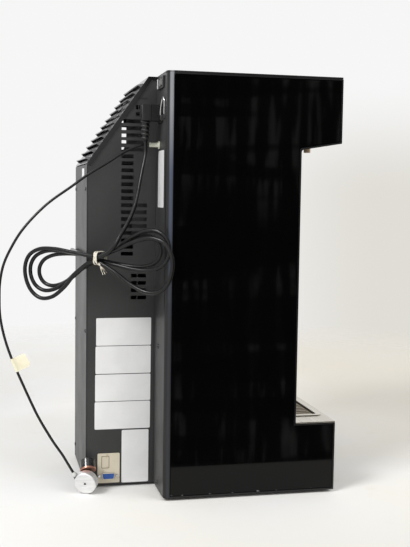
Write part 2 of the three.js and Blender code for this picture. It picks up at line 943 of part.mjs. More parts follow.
function spout(x) {
  const top = headColumnHeight + spoutLength;
  const seat = headUnderZ(spoutY - spoutCollar) + undersideSheet + seatGap;
  const profile = [
    [spoutBore, headColumnHeight],
    [spoutRadius, headColumnHeight],
    [spoutRadius, seat],
    [spoutCollar, seat],
    [spoutCollar, seat + spoutCollarThickness],
    [spoutRadius, seat + spoutCollarThickness],
    [spoutRadius, top],
    [spoutBore, top],
    [spoutBore, headColumnHeight],
  ];
  return turned(profile, "z", [x, spoutY, 0], smallRoundCount);
}

function controlBoard() {
  const fasciaBack = frontY + fasciaThickness;
  const front = fasciaBack + boardStandoff;
  const middle = (headFrontHeight + cabinetHeight) / 2;
  const board = box(
    both(boardWidth / 2),
    [front, front + boardThickness],
    [middle - boardHeight / 2, middle + boardHeight / 2],
  );
  const posts = [];
  for (const x of both(boardWidth / 2 - 2 * boardPost)) {
    for (const z of both(boardHeight / 2 - 2 * boardPost)) {
      const from = fasciaBack + seatGap;
      posts.push(bar(boardPost, "y", [x, 0, middle + z], from, front, smallRoundCount));
    }
  }
  return join(board, ...posts);
}

const head = new THREE.Group();
dispenser.add(head);
add(head, "head_fascia", headFascia(), finishes.glossBlack);
add(head, "display_strip", display(), finishes.smokedGlass);
add(head, "head_underside", headUnderside(), finishes.satinBlack);
add(head, "control_board", controlBoard(), finishes.boardGreen);
for (let i = 0; i < bottleCount; i++) {
  add(head, `spout_${i + 1}`, spout(bottleX(i)), finishes.stainless);
  for (let k = 0; k < buttonsPerBottle; k++) {
    const name = `button_${i * buttonsPerBottle + k + 1}`;
    add(head, name, button(buttonX(i, k)), finishes.aluminium);
  }
}

// Glass door on two pivots

const doorLeft = -innerHalf + doorSideGap;
const doorRight = pivotX + doorThickness / 2;
const windowX = [doorLeft + doorStile, pivotX + doorThickness / 2 - doorStile];
const windowZ = [doorBottom + doorRail, doorTop - doorRail];

function doorFrame() {
  const half = doorThickness / 2;
  const steps = 4 * cornerSteps;
  const plan = [
    [doorLeft, doorMidY + half],
    [doorLeft, doorMidY - half],
  ];
  for (let k = 0; k <= steps; k++) {
    const turn = -Math.PI / 2 + (Math.PI * k) / steps;
    plan.push([pivotX + half * Math.cos(turn), doorMidY + half * Math.sin(turn)]);
  }
  const slab = prism(plan, "z", doorBottom, doorTop);
  const view = box(windowX, [doorFrontY - overrun, doorRearY + overrun], windowZ);
  const rebate = box(
    [windowX[0] - paneLap, windowX[1] + paneLap],
    [doorRearY - paneThickness - seatGap, doorRearY + overrun],
    [windowZ[0] - paneLap, windowZ[1] + paneLap],
  );
  const grip = box(
    [doorLeft + gripInset, doorLeft + gripInset + gripWidth],
    [doorFrontY - overrun, doorFrontY + gripDepth],
    [
      (doorBottom + doorTop - gripHeight) / 2,
      (doorBottom + doorTop + gripHeight) / 2,
    ],
  );
  const pivotAt = [pivotX, doorMidY, 0];
  const lower = turned(
    [
      [0, deckUnderZ + seatGap],
      [pivotRadius, deckUnderZ + seatGap],
      [pivotRadius, deckHeight + seatGap],
      [pivotBoss, deckHeight + seatGap],
      [pivotBoss, doorBottom + pivotBoss],
      [0, doorBottom + pivotBoss],
    ],
    "z",
    pivotAt,
    smallRoundCount,
  );
  const upper = turned(
    [
      [0, doorTop - pivotBoss],
      [pivotBoss, doorTop - pivotBoss],
      [pivotBoss, headColumnHeight - seatGap],
      [pivotRadius, headColumnHeight - seatGap],
      [pivotRadius, headColumnHeight + undersideSheet - seatGap],
      [0, headColumnHeight + undersideSheet - seatGap],
    ],
    "z",
    pivotAt,
    smallRoundCount,
  );
  return join(cut(slab, view, rebate, grip), lower, upper);
}

function doorGlass() {
  const margin = paneLap - seatGap;
  return box(
    [windowX[0] - margin, windowX[1] + margin],
    [doorRearY - paneThickness, doorRearY],
    [windowZ[0] - margin, windowZ[1] + margin],
  );
}

const door = new THREE.Group();
dispenser.add(door);
add(door, "door_frame", doorFrame(), finishes.satinBlack);
add(door, "door_glass", doorGlass(), finishes.clearGlass);

// Cabin: liner, cold fins, lifts and bottle heads

function cabinLiner() {
  const shell = box(both(plateHalf), [linerFrontY, linerRearY], [linerBottom, linerTop]);
  const innerHalfWidth = plateHalf - linerWall;
  const outline = rounded(
    rectangle(both(innerHalfWidth), [cabinFloor, cabinRoof]),
    linerRound,
  );
  const hollow = prism(outline, "y", linerFrontY - overrun, linerRearY - linerRear);
  const tools = [hollow];
  for (let i = 0; i < bottleCount; i++) {
    const at = [bottleX(i), bottleY, 0];
    tools.push(
      bar(rodRadius + slideGap, "z", at, linerBottom - overrun, cabinFloor + overrun),
      bar(nippleRadius + seatGap, "z", at, cabinRoof - overrun, linerTop + overrun),
    );
  }
  tools.push(
    box(
      both(coldStubWidth / 2 + seatGap),
      [linerRearY - linerRear - overrun, linerRearY + overrun],
      [
        coldHeight - coldStubHeight / 2 - seatGap,
        coldHeight + coldStubHeight / 2 + seatGap,
      ],
    ),
  );
  return cut(shell, ...tools);
}

// A comb outline in (x, y): a base with fins standing on it towards one side.
function comb(width, baseFrom, baseTo, tipY, count, thickness) {
  const pitch = (width - thickness) / (count - 1);
  const points = [
    [-width / 2, baseFrom],
    [width / 2, baseFrom],
  ];
  for (let i = count - 1; i >= 0; i--) {
    const x = -width / 2 + i * pitch;
    points.push([x + thickness, i === count - 1 ? tipY : baseTo]);
    if (i < count - 1) points.push([x + thickness, tipY]);
    points.push([x, tipY]);
    if (i > 0) points.push([x, baseTo]);
  }
  return points;
}

function coldSink() {
  const wallY = linerRearY - linerRear - seatGap;
  const fins = comb(
    coldFinWidth,
    wallY,
    wallY - coldBase,
    wallY - coldFinDepth,
    coldFinCount,
    coldFinThickness,
  );
  const z = [coldHeight - coldFinHeight / 2, coldHeight + coldFinHeight / 2];
  const block = prism(fins, "z", ...z);
  const stub = box(
    both(coldStubWidth / 2),
    [wallY - coldBase / 2, sinkFront - seatGap],
    [coldHeight - coldStubHeight / 2, coldHeight + coldStubHeight / 2],
  );
  return join(block, stub);
}

function liftPlatform(x) {
  const seat = cabinFloor + seatGap;
  const top = seat + platformThickness;
  const profile = [
    [0, seat - rodLength],
    [rodRadius, seat - rodLength],
    [rodRadius, seat],
    [platformRadius, seat],
    [platformRadius, top + platformRim],
    [platformRadius - platformRimWall, top + platformRim],
    [platformRadius - platformRimWall, top],
    [0, top],
  ];
  return turned(profile, "z", [x, bottleY, 0]);
}

function liftBlock() {
  const bottom = panTop + seatGap;
  const top = linerBottom - seatGap;
  const halfLength = bottleX(bottleCount - 1) + cylinderRadius + liftEndMargin;
  const plate = box(
    both(halfLength),
    [bottleY - liftPlateDepth / 2, bottleY + liftPlateDepth / 2],
    [bottom, bottom + liftPlate],
  );
  const cylinders = [];
  const bores = [];
  for (let i = 0; i < bottleCount; i++) {
    const at = [bottleX(i), bottleY, 0];
    cylinders.push(bar(cylinderRadius, "z", at, bottom, top));
    bores.push(
      bar(rodRadius + slideGap, "z", at, bottom + cylinderFloor, top + overrun),
    );
  }
  return cut(join(plate, ...cylinders), ...bores);
}

function bottleHead(x) {
  const blockTop = cabinRoof - seatGap;
  const blockBottom = blockTop - headBlockHeight;
  const stopperBottom = blockBottom - stopperHeight;
  const profile = [
    [0, cabinFloor + dipTubeRise],
    [dipTubeRadius, cabinFloor + dipTubeRise],
    [dipTubeRadius, stopperBottom],
    [stopperTip, stopperBottom],
  ];
  for (let k = 0; k < stopperRingCount; k++) {
    const at = (k + 1) / (stopperRingCount + 1);
    const radius = stopperTip + (stopperTop - stopperTip) * at;
    const height = stopperBottom + stopperHeight * at;
    profile.push(
      [radius, height - stopperRing],
      [radius + stopperRing, height],
      [radius, height + stopperRing],
    );
  }
  profile.push(
    [stopperTop, blockBottom],
    [headNeck, blockBottom],
    [headBlockRadius, blockBottom + (headBlockRadius - headNeck)],
    [headBlockRadius, blockTop],
    [nippleRadius, blockTop],
    [nippleRadius, linerTop + nippleLength],
    [0, linerTop + nippleLength],
  );
  return turned(profile, "z", [x, bottleY, 0], smallRoundCount);
}

function valveBlock() {
  const bottom = linerTop + nippleLength + seatGap;
  const top = bottom + valveBarHeight;
  const y = [bottleY - valveBarDepth / 2, bottleY + valveBarDepth / 2];
  const barX = both(valveBarWidth / 2);
  const pieces = [box(barX, y, [bottom, top])];
  for (const sign of [-1, 1]) {
    const feet = mirrored(sign, valveBarWidth / 2 - valveFoot, valveBarWidth / 2);
    pieces.push(box(feet, y, [linerTop + seatGap, top]));
  }
  for (let i = 0; i < bottleCount; i++) {
    const profile = [
      [0, bottom],
      [coilRadius - coilCap, bottom],
      [coilRadius - coilCap, top],
      [coilRadius, top],
      [coilRadius, top + coilHeight],
      [coilRadius - coilCap, top + coilHeight],
      [coilRadius - coilCap, top + coilHeight + coilCap],
      [0, top + coilHeight + coilCap],
    ];
    pieces.push(turned(profile, "z", [bottleX(i), bottleY, 0]));
  }
  return join(...pieces);
}

const cabin = new THREE.Group();
dispenser.add(cabin);
add(cabin, "cabin_liner", cabinLiner(), finishes.linerGrey);
add(cabin, "cold_sink", coldSink(), finishes.aluminium);
add(cabin, "lift_block", liftBlock(), finishes.aluminium);
add(cabin, "valve_block", valveBlock(), finishes.aluminium);
for (let i = 0; i < bottleCount; i++) {
  add(cabin, `lift_platform_${i + 1}`, liftPlatform(bottleX(i)), finishes.stainless);
  add(cabin, `bottle_head_${i + 1}`, bottleHead(bottleX(i)), finishes.silicone);
}

// Rear flange plates with the mains inlet, the switch and the gas fitting

function rearFlange(sign) {
  const span = mirrored(sign, housingHalfWidth - flangeLap, plateHalf);
  const top = coverZ - coverLip - seatGap;
  const plate = box(span, [panelRearY - sheet, panelRearY], [standHeight, top]);
  if (sign > 0) return plate;
  const through = [panelRearY - sheet - overrun, panelRearY + overrun];
  const inletHole = box(
    [inletX - inletWidth / 2 - seatGap, inletX + inletWidth / 2 + seatGap],
    through,
    [inletHeight - inletTall / 2 - seatGap, inletHeight + inletTall / 2 + seatGap],
  );
  const switchHole = box(
    [switchX - switchWidth / 2 - seatGap, switchX + switchWidth / 2 + seatGap],
    through,
    [switchHeight - switchTall / 2 - seatGap, switchHeight + switchTall / 2 + seatGap],
  );
  const gasHole = bar(
    fittingTail + seatGap,
    "y",
    [fittingX, 0, fittingHeight],
    ...through,
    smallRoundCount,
  );
  return cut(plate, inletHole, switchHole, gasHole);
}

function powerInlet() {
  const outer = rounded(
    rectangle(
      [inletX - inletWidth / 2, inletX + inletWidth / 2],
      [inletHeight - inletTall / 2, inletHeight + inletTall / 2],
    ),
    [inletBezel, inletBezel, inletBezel * 2, inletBezel * 2],
  );
  const bezel = rectangle(
    [inletX - inletWidth / 2 - inletBezel, inletX + inletWidth / 2 + inletBezel],
    [inletHeight - inletTall / 2 - inletBezel, inletHeight + inletTall / 2 + inletBezel],
  );
  const face = panelRearY + seatGap;
  const body = prism(outer, "y", face - inletBody, face + inletBezelThickness);
  const flange = prism(
    rounded(bezel, inletBezel),
    "y",
    face,
    face + inletBezelThickness,
  );
  const pocket = box(
    [inletX - inletWidth / 2 + inletWall, inletX + inletWidth / 2 - inletWall],
    [face + inletBezelThickness - inletPocket, face + inletBezelThickness + overrun],
    [inletHeight - inletTall / 2 + inletWall, inletHeight + inletTall / 2 - inletWall],
  );
  return cut(join(body, flange), pocket);
}

function switchHousing() {
  const x = [switchX - switchWidth / 2, switchX + switchWidth / 2];
  const z = [switchHeight - switchTall / 2, switchHeight + switchTall / 2];
  const face = panelRearY + seatGap;
  const body = box(x, [face - switchBody, face + switchBezelThickness], z);
  const bezel = box(
    [x[0] - switchBezel, x[1] + switchBezel],
    [face, face + switchBezelThickness],
    [z[0] - switchBezel / 2, z[1] + switchBezel / 2],
  );
  const well = box(
    [switchX - rockerWidth / 2 - slideGap, switchX + rockerWidth / 2 + slideGap],
    [face - switchBody / 2, face + switchBezelThickness + overrun],
    [switchHeight - rockerTall / 2 - slideGap, switchHeight + rockerTall / 2 + slideGap],
  );
  return cut(join(body, bezel), well);
}

// The rocker is drawn about its own pin and stands tilted to one side.
const rockerPinY = panelRearY + seatGap + switchBezelThickness - rockerThickness / 2;

function rocker() {
  const half = rockerWidth / 2 - slideGap;
  const tilt = Math.tan(radians(rockerTiltDegrees));
  const profile = [
    [-half, -rockerThickness / 2 + half * tilt],
    [0, -rockerThickness / 2],
    [half, -rockerThickness / 2 + half * tilt],
    [half, rockerThickness / 2 + half * tilt],
    [0, rockerThickness / 2],
    [-half, rockerThickness / 2 + half * tilt],
  ];
  return prism(profile, "z", -rockerTall / 2, rockerTall / 2);
}

function gasFitting() {
  const face = panelRearY + seatGap;
  const reach = face + fittingReach;
  const body = turned(
    [
      [0, face - sheet - fittingTailLength],
      [fittingTail, face - sheet - fittingTailLength],
      [fittingTail, face],
      [fittingBody, face],
      [fittingBody, reach - fittingColletLength],
      [fittingCollet, reach - fittingColletLength],
      [fittingCollet, reach],
      [0, reach],
    ],
    "y",
    [fittingX, 0, fittingHeight],
    smallRoundCount,
  );
  const nut = bar(
    fittingNut,
    "y",
    [fittingX, 0, fittingHeight],
    face,
    face + fittingNutThickness,
    6,
  );
  return join(body, nut);
}

const rearPanel = new THREE.Group();
dispenser.add(rearPanel);
for (const [side, sign] of sides) {
  add(rearPanel, `rear_flange_${side}`, rearFlange(sign), finishes.charcoalSheet);
}
add(rearPanel, "power_inlet", powerInlet(), finishes.blackPlastic);
add(rearPanel, "switch_housing", switchHousing(), finishes.blackPlastic);
const rockerMesh = add(rearPanel, "rocker_switch", rocker(), finishes.greyPlastic);
rockerMesh.position.set(switchX, rockerPinY, switchHeight);
rockerMesh.rotation.z = -radians(rockerTiltDegrees);
add(rearPanel, "gas_fitting", gasFitting(), finishes.creamPlastic);

// Cooling housing

const slopeRun = Math.hypot(housingRearY - slopeTopY, cabinetHeight - slopeFoot);
const louvreHalfWidth = housingHalfWidth - louvreInset;
const slopeUp = [
  (slopeTopY - housingRearY) / slopeRun,
  (cabinetHeight - slopeFoot) / slopeRun,
];
const slopeOut = [slopeUp[1], -slopeUp[0]];

// A point on the slope: distance up it from its foot, and height over the sheet.
const onSlope = (up, out) => [
  housingRearY + slopeUp[0] * up + slopeOut[0] * out,
  slopeFoot + slopeUp[1] * up + slopeOut[1] * out,
];

function housingSide(sign) {
  const front = panelRearY + seatGap;
  const under = sheet + seatGap;
  const rear = housingRearY - under;
  const foot = onSlope(0, -under);
  const crown = onSlope(slopeRun, -under);
  const outline = [
    [front, standHeight],
    [rear, standHeight],
    [rear, foot[1] - (rear - foot[0]) * (slopeOut[0] / slopeOut[1])],
    [crown[0], crown[1]],
    [front, crown[1]],
  ];
  const wall = mirrored(sign, housingHalfWidth - sheet, housingHalfWidth);
  const plate = prism(outline, "x", ...wall);
  const fold = mirrored(sign, housingHalfWidth - returnWidth, housingHalfWidth);
  const rearFold = box(fold, [rear - sheet, rear], [standHeight, outline[2][1]]);
  const through = mirrored(sign, housingHalfWidth - 2 * sheet, housingHalfWidth + sheet);
  const tools = [];
  for (let row = 0; row < slotRowCount; row++) {
    const top = slotTop - row * slotPitch;
    const from = wideRows.includes(row) ? slotFront : slotMiddle;
    tools.push(box(through, [from, slotRear], [top - slotHeight, top]));
  }
  for (let row = 0; row < lowSlotCount; row++) {
    const top = lowSlotTop - row * lowSlotPitch;
    tools.push(box(through, [slotFront, lowSlotRear], [top - slotHeight, top]));
  }
  for (const drop of knockoutDrops) {
    const top = cabinetHeight - drop;
    const y = [knockoutRear - knockoutSize, knockoutRear];
    tools.push(box(through, y, [top - knockoutSize, top]));
  }
  if (sign < 0) {
    tools.push(
      box(
        through,
        [plateFront + plateThickness * 2, plateRear - plateThickness * 2],
        [plateBottom + plateThickness * 2, plateTop - plateThickness * 2],
      ),
    );
  }
  return join(cut(plate, ...tools), rearFold);
}

function housingRear() {
  return box(
    both(housingHalfWidth),
    [housingRearY - sheet, housingRearY],
    [standHeight, slopeFoot - sheet - seatGap],
  );
}

function housingFloor() {
  const half = housingHalfWidth - sheet - seatGap;
  const y = [panelRearY + seatGap, housingRearY - 2 * sheet - 2 * seatGap];
  const plate = box(both(half), y, [standHeight, standHeight + sheet]);
  const lip = box(
    both(half),
    [y[0], y[0] + sheet],
    [standHeight, standHeight + returnWidth],
  );
  return join(plate, lip);
}

function louvrePanel() {
  const lipHalf = housingHalfWidth + seatGap + sheet;
  const topZ = onSlope(slopeRun, 0)[1];
  const crownY = panelRearY + seatGap;
  // The sheet on the slope and the flat crown in front of it, in (y, z).
  const under = [...onSlope(slopeRun, -sheet)];
  const outline = [
    onSlope(0, -sheet),
    onSlope(0, 0),
    onSlope(slopeRun, 0),
    [crownY, topZ],
    [crownY, under[1]],
    under,
  ];
  const skin = prism(outline.reverse(), "x", -lipHalf, lipHalf);
  const lips = [-1, 1].map((sign) => {
    const span = mirrored(sign, housingHalfWidth + seatGap, lipHalf);
    const edge = [
      onSlope(0, 0),
      onSlope(slopeRun, 0),
      [crownY, topZ],
      [crownY, topZ - louvreLip],
      onSlope(slopeRun, -louvreLip),
      onSlope(0, -louvreLip),
    ];
    return prism(edge.reverse(), "x", ...span);
  });
  const hoods = [];
  const hollows = [];
  const wall = louvreWallThickness;
  for (let i = 0; i < louvreCount; i++) {
    const high = slopeRun - louvreTopMargin - i * louvrePitch;
    const low = high - louvreLength;
    hoods.push(wedge(louvreHalfWidth, low, high, -sheet / 2, louvreRise));
    hollows.push(
      wedge(
        louvreHalfWidth - wall,
        low - louvreMouth,
        high - 2 * wall,
        -2 * sheet,
        louvreRise - wall,
      ),
    );
  }
  return join(cut(join(skin, ...hoods), ...hollows), ...lips);
}

// A low wedge on the slope, highest along its lower edge and sloped at both ends.
function wedge(half, low, high, bottom, rise) {
  const crest = half - louvreRamp;
  const corners = [];
  for (const sign of [-1, 1]) {
    corners.push(
      [sign * half, ...onSlope(low, bottom)],
      [sign * half, ...onSlope(high, bottom)],
      [sign * half, ...onSlope(low, 0)],
      [sign * half, ...onSlope(high, 0)],
      [sign * crest, ...onSlope(low, rise)],
    );
  }
  return solid(new ConvexGeometry(corners.map((c) => new THREE.Vector3(...c))));
}

function heatSink() {
  const tip = sinkFront + sinkBase + sinkFinDepth;
  const points = comb(
    sinkWidth,
    sinkFront,
    sinkFront + sinkBase,
    tip,
    sinkFinCount,
    sinkFinThickness,
  );
  return prism(points, "z", cabinetHeight - sinkBottomDrop, cabinetHeight - sinkTopDrop);
}

const fanFrontY = sinkFront + sinkBase + sinkFinDepth + seatGap;
const fanRearY = fanFrontY + fanDepth;

function fanFrame() {
  const half = fanSize / 2;
  const outline = rounded(
    rectangle(both(half), [coldHeight - half, coldHeight + half]),
    fanStrut,
  );
  const frame = prism(outline, "y", fanFrontY, fanRearY);
  const centre = [0, 0, coldHeight];
  const bore = bar(fanBore, "y", centre, fanFrontY - overrun, fanRearY + overrun, 40);
  const mount = bar(fanHub, "y", centre, fanRearY - fanStrutDepth, fanRearY);
  const struts = [];
  for (let i = 0; i < fanStrutCount; i++) {
    const geometry = new THREE.BoxGeometry(
      fanBore + fanStrut - fanHub / 2,
      fanStrutDepth,
      fanStrut,
    );
    geometry.translate((fanBore + fanStrut + fanHub / 2) / 2, 0, 0);
    geometry.rotateY(Math.PI / fanStrutCount + (2 * Math.PI * i) / fanStrutCount);
    geometry.translate(0, fanRearY - fanStrutDepth / 2, coldHeight);
    struts.push(solid(geometry));
  }
  return join(cut(frame, bore), mount, ...struts);
}

// The rotor is drawn about its own axis, which then lies along Y through the fan.
function fanRotor() {
  const depth = fanDepth - fanStrutDepth - 2 * slideGap;
  const tip = fanBore - fanTipGap;
  const pieces = [
    turned(
      [
        [0, 0],
        [fanHub - slideGap - fanTipGap, 0],
        [fanHub - slideGap, fanTipGap],
        [fanHub - slideGap, depth],
        [0, depth],
      ],
      "y",
      [0, 0, 0],
    ),
  ];
  for (let i = 0; i < bladeCount; i++) {
    const inner = fanHub / 2;
    const geometry = new THREE.BoxGeometry(tip - inner, bladeThickness, bladeChord);
    geometry.translate((tip + inner) / 2, 0, 0);
    geometry.rotateX(radians(90 - bladePitchDegrees));
    geometry.translate(0, depth / 2, 0);
    geometry.rotateY((2 * Math.PI * i) / bladeCount);
    pieces.push(solid(geometry));
  }
  const envelope = bar(tip, "y", [0, 0, 0], 0, depth, 40);
  return join(...pieces).intersect(envelope);
}

// Connector plate with a socket of three rows of pins

function connectorPlate() {
  const out = housingHalfWidth + seatGap;
  const plate = prism(
    rounded(rectangle([plateFront, plateRear], [plateBottom, plateTop]), outerRound),
    "x",
    -out - plateThickness,
    -out,
  );
  const shell = prism(
    portOutline(portShell),
    "x",
    -out - plateThickness - portProud,
    -out - plateThickness / 2,
  );
  const hole = prism(
    portOutline(0),
    "x",
    -out - plateThickness - portProud - overrun,
    -out + overrun,
  );
  return cut(join(plate, shell), hole);
}

// Trapezium outline of the socket in (y, z), grown by a margin.
function portOutline(margin) {
  const half = portTall / 2 + margin;
  const corners = [
    [portFront - margin + portSlant, portHeight - half],
    [portRear + margin - portSlant, portHeight - half],
    [portRear + margin, portHeight + half],
    [portFront - margin, portHeight + half],
  ];
  return rounded(corners, outerRound + margin);
}

function dataConnector() {
  const out = housingHalfWidth + seatGap + plateThickness;
  const face = -out - portProud + portShell;
  const body = prism(portOutline(-seatGap), "x", face, -out + plateThickness * 2);
  const middleY = (portRear + portFront) / 2;
  const holes = [];
  for (let row = 0; row < pinRowCount; row++) {
    for (let column = 0; column < pinColumnCount; column++) {
      const shift = row % 2 === 0 ? 0 : pinPitch / 2;
      const y = middleY + (column - (pinColumnCount - 1) / 2) * pinPitch + shift;
      const z = portHeight + (row - (pinRowCount - 1) / 2) * pinRowPitch;
      holes.push(bar(pinRadius, "x", [0, y, z], face - overrun, face + pinDepth, 6));
    }
  }
  return cut(body, ...holes);
}

const cooling = new THREE.Group();
dispenser.add(cooling);
for (const [side, sign] of sides) {
  add(cooling, `housing_side_${side}`, housingSide(sign), finishes.charcoalSheet);
}
add(cooling, "housing_rear", housingRear(), finishes.charcoalSheet);
add(cooling, "housing_floor", housingFloor(), finishes.charcoalSheet);
add(cooling, "louvre_panel", louvrePanel(), finishes.satinBlack);
add(cooling, "heat_sink", heatSink(), finishes.aluminium);
add(cooling, "fan_frame", fanFrame(), finishes.blackPlastic);
const rotor = add(cooling, "fan_rotor", fanRotor(), finishes.blackPlastic);
rotor.position.set(0, fanFrontY + slideGap, coldHeight);
add(cooling, "connector_plate", connectorPlate(), finishes.beigePlate);
add(cooling, "data_connector", dataConnector(), finishes.bluePlastic);

// Cords

// A round tube along a list of places, with flat ends.
function tube(points, radius, stepCount, sideCount) {
  const curve = new THREE.CatmullRomCurve3(
    points.map((p) => new THREE.Vector3(...p)),
    false,
    "centripetal",
  );
  const ring = [];
  for (let i = 0; i < sideCount; i++) {
    const turn = (2 * Math.PI * i) / sideCount;
    ring.push(new THREE.Vector2(radius * Math.cos(turn), radius * Math.sin(turn)));
  }
  const geometry = new THREE.ExtrudeGeometry(new THREE.Shape(ring), {
    steps: stepCount,
    extrudePath: curve,
    bevelEnabled: false,
  });
  return { body: solid(geometry), length: curve.getLength() };
}

// Mains plug: a block in the inlet, an elbow, and a ribbed strain relief below it.
const plugFaceY = panelRearY + 2 * seatGap + inletBezelThickness;
const elbowY = plugFaceY + plugNose + plugElbow / 2;
const elbowBottom = inletHeight - inletTall / 2;

function mainsPlug() {
  const nose = box(
    [inletX - inletWidth / 2, inletX + inletWidth / 2],
    [plugFaceY, plugFaceY + plugNose],
    [inletHeight - inletTall / 2, inletHeight + inletTall / 2],
  );
  const elbow = prism(
    rounded(
      rectangle(both(plugElbowWidth / 2), both(plugElbow / 2)),
      [0, 0, plugElbow / 3, plugElbow / 3],
    ).map(([a, b]) => [a + inletX, b + elbowY - seatGap]),
    "z",
    elbowBottom,
    inletHeight + inletTall / 2,
  );
  const inPocket = inletWall + seatGap;
  const tongue = box(
    [inletX - inletWidth / 2 + inPocket, inletX + inletWidth / 2 - inPocket],
    [plugFaceY - inletPocket + 2 * seatGap, plugFaceY + seatGap],
    [inletHeight - inletTall / 2 + inPocket, inletHeight + inletTall / 2 - inPocket],
  );
  const profile = [[0, elbowBottom + seatGap]];
  profile.push([reliefTop, elbowBottom + seatGap]);
  const ribStep = reliefLength / reliefRibCount;
  for (let k = 0; k < reliefRibCount; k++) {
    const radius = reliefTop + ((reliefTip - reliefTop) * (k + 1)) / reliefRibCount;
    const height = elbowBottom - k * ribStep;
    profile.push(
      [radius + reliefRib, height - ribStep / 4],
      [radius + reliefRib, height - ribStep / 2],
      [radius, height - (ribStep * 3) / 4],
    );
  }
  profile.push([reliefTip, elbowBottom - reliefLength], [0, elbowBottom - reliefLength]);
  const relief = turned(profile.reverse(), "z", [inletX, elbowY, 0], smallRoundCount);
  return join(nose, elbow, tongue, relief);
}

// Hank frame: along it to the front, up, and out from the dispenser.
const hankHeading = radians(hankTurnDegrees);
const hankAlong = new THREE.Vector3(Math.cos(hankHeading), Math.sin(hankHeading), 0);
const hankUp = new THREE.Vector3(0, 0, 1);
const hankOut = hankAlong.clone().cross(hankUp);
const hankZ = inletHeight - hankDrop;
const hankCentre = new THREE.Vector3(inletX + hankShift, panelRearY + hankBehind, hankZ);

// A place in the hank's own frame.
function inHank(along, up, out) {
  return hankCentre
    .clone()
    .addScaledVector(hankAlong, along)
    .addScaledVector(hankUp, up)
    .addScaledVector(hankOut, out);
}

// The lead's centre line in the hank. Each loop is a long oval drawn in at the waist,
// with its two lobes tilted. Turns count the loops from the outer end to the inner one.
function hankPoint(turns) {
  const phase = 2 * Math.PI * turns;
  const sine = Math.sin(phase);
  const half = Math.min(Math.floor(2 * turns), hankReaches.length - 1);
  const reach = -hankReaches[half] * sine;
  const softened = Math.hypot(sine, hankSofteningShare) - hankSofteningShare;
  const opening = Math.cos(phase) * (hankWaist + hankSwells[half] * softened);
  const tilt = radians(hankTiltsDegrees[half]) * Math.tanh(hankBendShare * sine);
  const along = reach * Math.cos(tilt) - opening * Math.sin(tilt);
  const up = reach * Math.sin(tilt) + opening * Math.cos(tilt);
  const out = hankLayerPitch * (hankLoopCount - turns);
  return inHank(along, up, out);
}

// A tube of few sides along a list of places, its section carried without twist.
function loopTube(places, radius, sideCount) {
  const count = places.length;
  const tangents = places.map((_, i) =>
    places[Math.min(i + 1, count - 1)]
      .clone()
      .sub(places[Math.max(i - 1, 0)])
      .normalize(),
  );
  let across = new THREE.Vector3(0, 0, 1).cross(tangents[0]).normalize();
  const vertices = [];
  const faces = [];
  places.forEach((place, i) => {
    across.addScaledVector(tangents[i], -across.dot(tangents[i])).normalize();
    const upward = tangents[i].clone().cross(across);
    for (let k = 0; k < sideCount; k++) {
      const turn = (2 * Math.PI * k) / sideCount;
      const at = place
        .clone()
        .addScaledVector(across, radius * Math.cos(turn))
        .addScaledVector(upward, radius * Math.sin(turn));
      vertices.push(at.x, at.y, at.z);
    }
  });
  for (let i = 0; i < count - 1; i++) {
    for (let k = 0; k < sideCount; k++) {
      const next = (k + 1) % sideCount;
      const a = i * sideCount + k;
      const b = i * sideCount + next;
      faces.push(a, b, b + sideCount, a, b + sideCount, a + sideCount);
    }
  }
  for (let k = 1; k < sideCount - 1; k++) {
    const end = (count - 1) * sideCount;
    faces.push(0, k + 1, k);
    faces.push(end, end + k, end + k + 1);
  }
  const geometry = new THREE.BufferGeometry();
  geometry.setAttribute("position", new THREE.Float32BufferAttribute(vertices, 3));
  geometry.setIndex(faces);
  return solid(geometry);
}

function leadHank() {
  const places = [];
  const total = hankLoopCount * hankLoopSteps;
  for (let i = 0; i <= total; i++) places.push(hankPoint(i / hankLoopSteps));
  const straight = 2 * leadRadius;
  const startWay = places[0].clone().sub(places[1]).setZ(0).normalize();
  const endWay = places[total].clone().sub(places[total - 1]).setZ(0).normalize();
  places.unshift(places[0].clone().addScaledVector(startWay, straight));
  places.push(places[places.length - 1].clone().addScaledVector(endWay, straight));
  return places;
}

// The least gap of a tube to itself, between places further apart along it than a bend.
function selfGap(places, radius) {
  const curve = new THREE.CatmullRomCurve3(places);
  const samples = curve.getSpacedPoints(places.length * 4);
  const spacing = curve.getLength() / (samples.length - 1);
  const skip = Math.ceil((Math.PI * 2 * radius) / spacing);
  let least = Infinity;
  for (let i = 0; i < samples.length; i++) {
    for (let k = i + skip; k < samples.length; k++) {
      least = Math.min(least, samples[i].distanceTo(samples[k]));
    }
  }
  return least - 2 * radius;
}

const hankPlaces = leadHank();
const hankCurve = new THREE.CatmullRomCurve3(hankPlaces);
const hankLength = hankCurve.getLength();

// Free stretches of the lead: from the plug down to the hank, and from the hank round
// the back of the housing to the wall plug on its other side.
const leadStart = [inletX, elbowY, elbowBottom - reliefLength - seatGap];
const hankStart = hankPlaces[0];
const hankStartWay = hankPlaces[0].clone().sub(hankPlaces[1]).normalize();
const leadEnd = hankStart.clone().addScaledVector(hankStartWay, seatGap);
const leadStraight = leadEnd.clone().addScaledVector(hankStartWay, 2 * leadRadius);
const leadRoute = [
  leadStart,
  ...leadStops.map((stop) => stop.map((shift, i) => leadStart[i] + shift)),
  leadStraight.toArray(),
  leadEnd.toArray(),
];
const hankEnd = hankPlaces[hankPlaces.length - 1];
const hankEndWay = hankEnd.clone().sub(hankPlaces[hankPlaces.length - 2]).normalize();
const tailStart = hankEnd.clone().addScaledVector(hankEndWay, seatGap);
const tailStraight = tailStart.clone().addScaledVector(hankEndWay, 2 * leadRadius);
const tailMiddle = [
  housingRearY + tailNearStops[tailNearStops.length - 1][1],
  hankZ + tailMiddleRise,
];
const farStops = tailFarStops.map(([side, rear, rise]) => [
  housingHalfWidth + side,
  housingRearY + rear,
  hankZ + rise,
]);
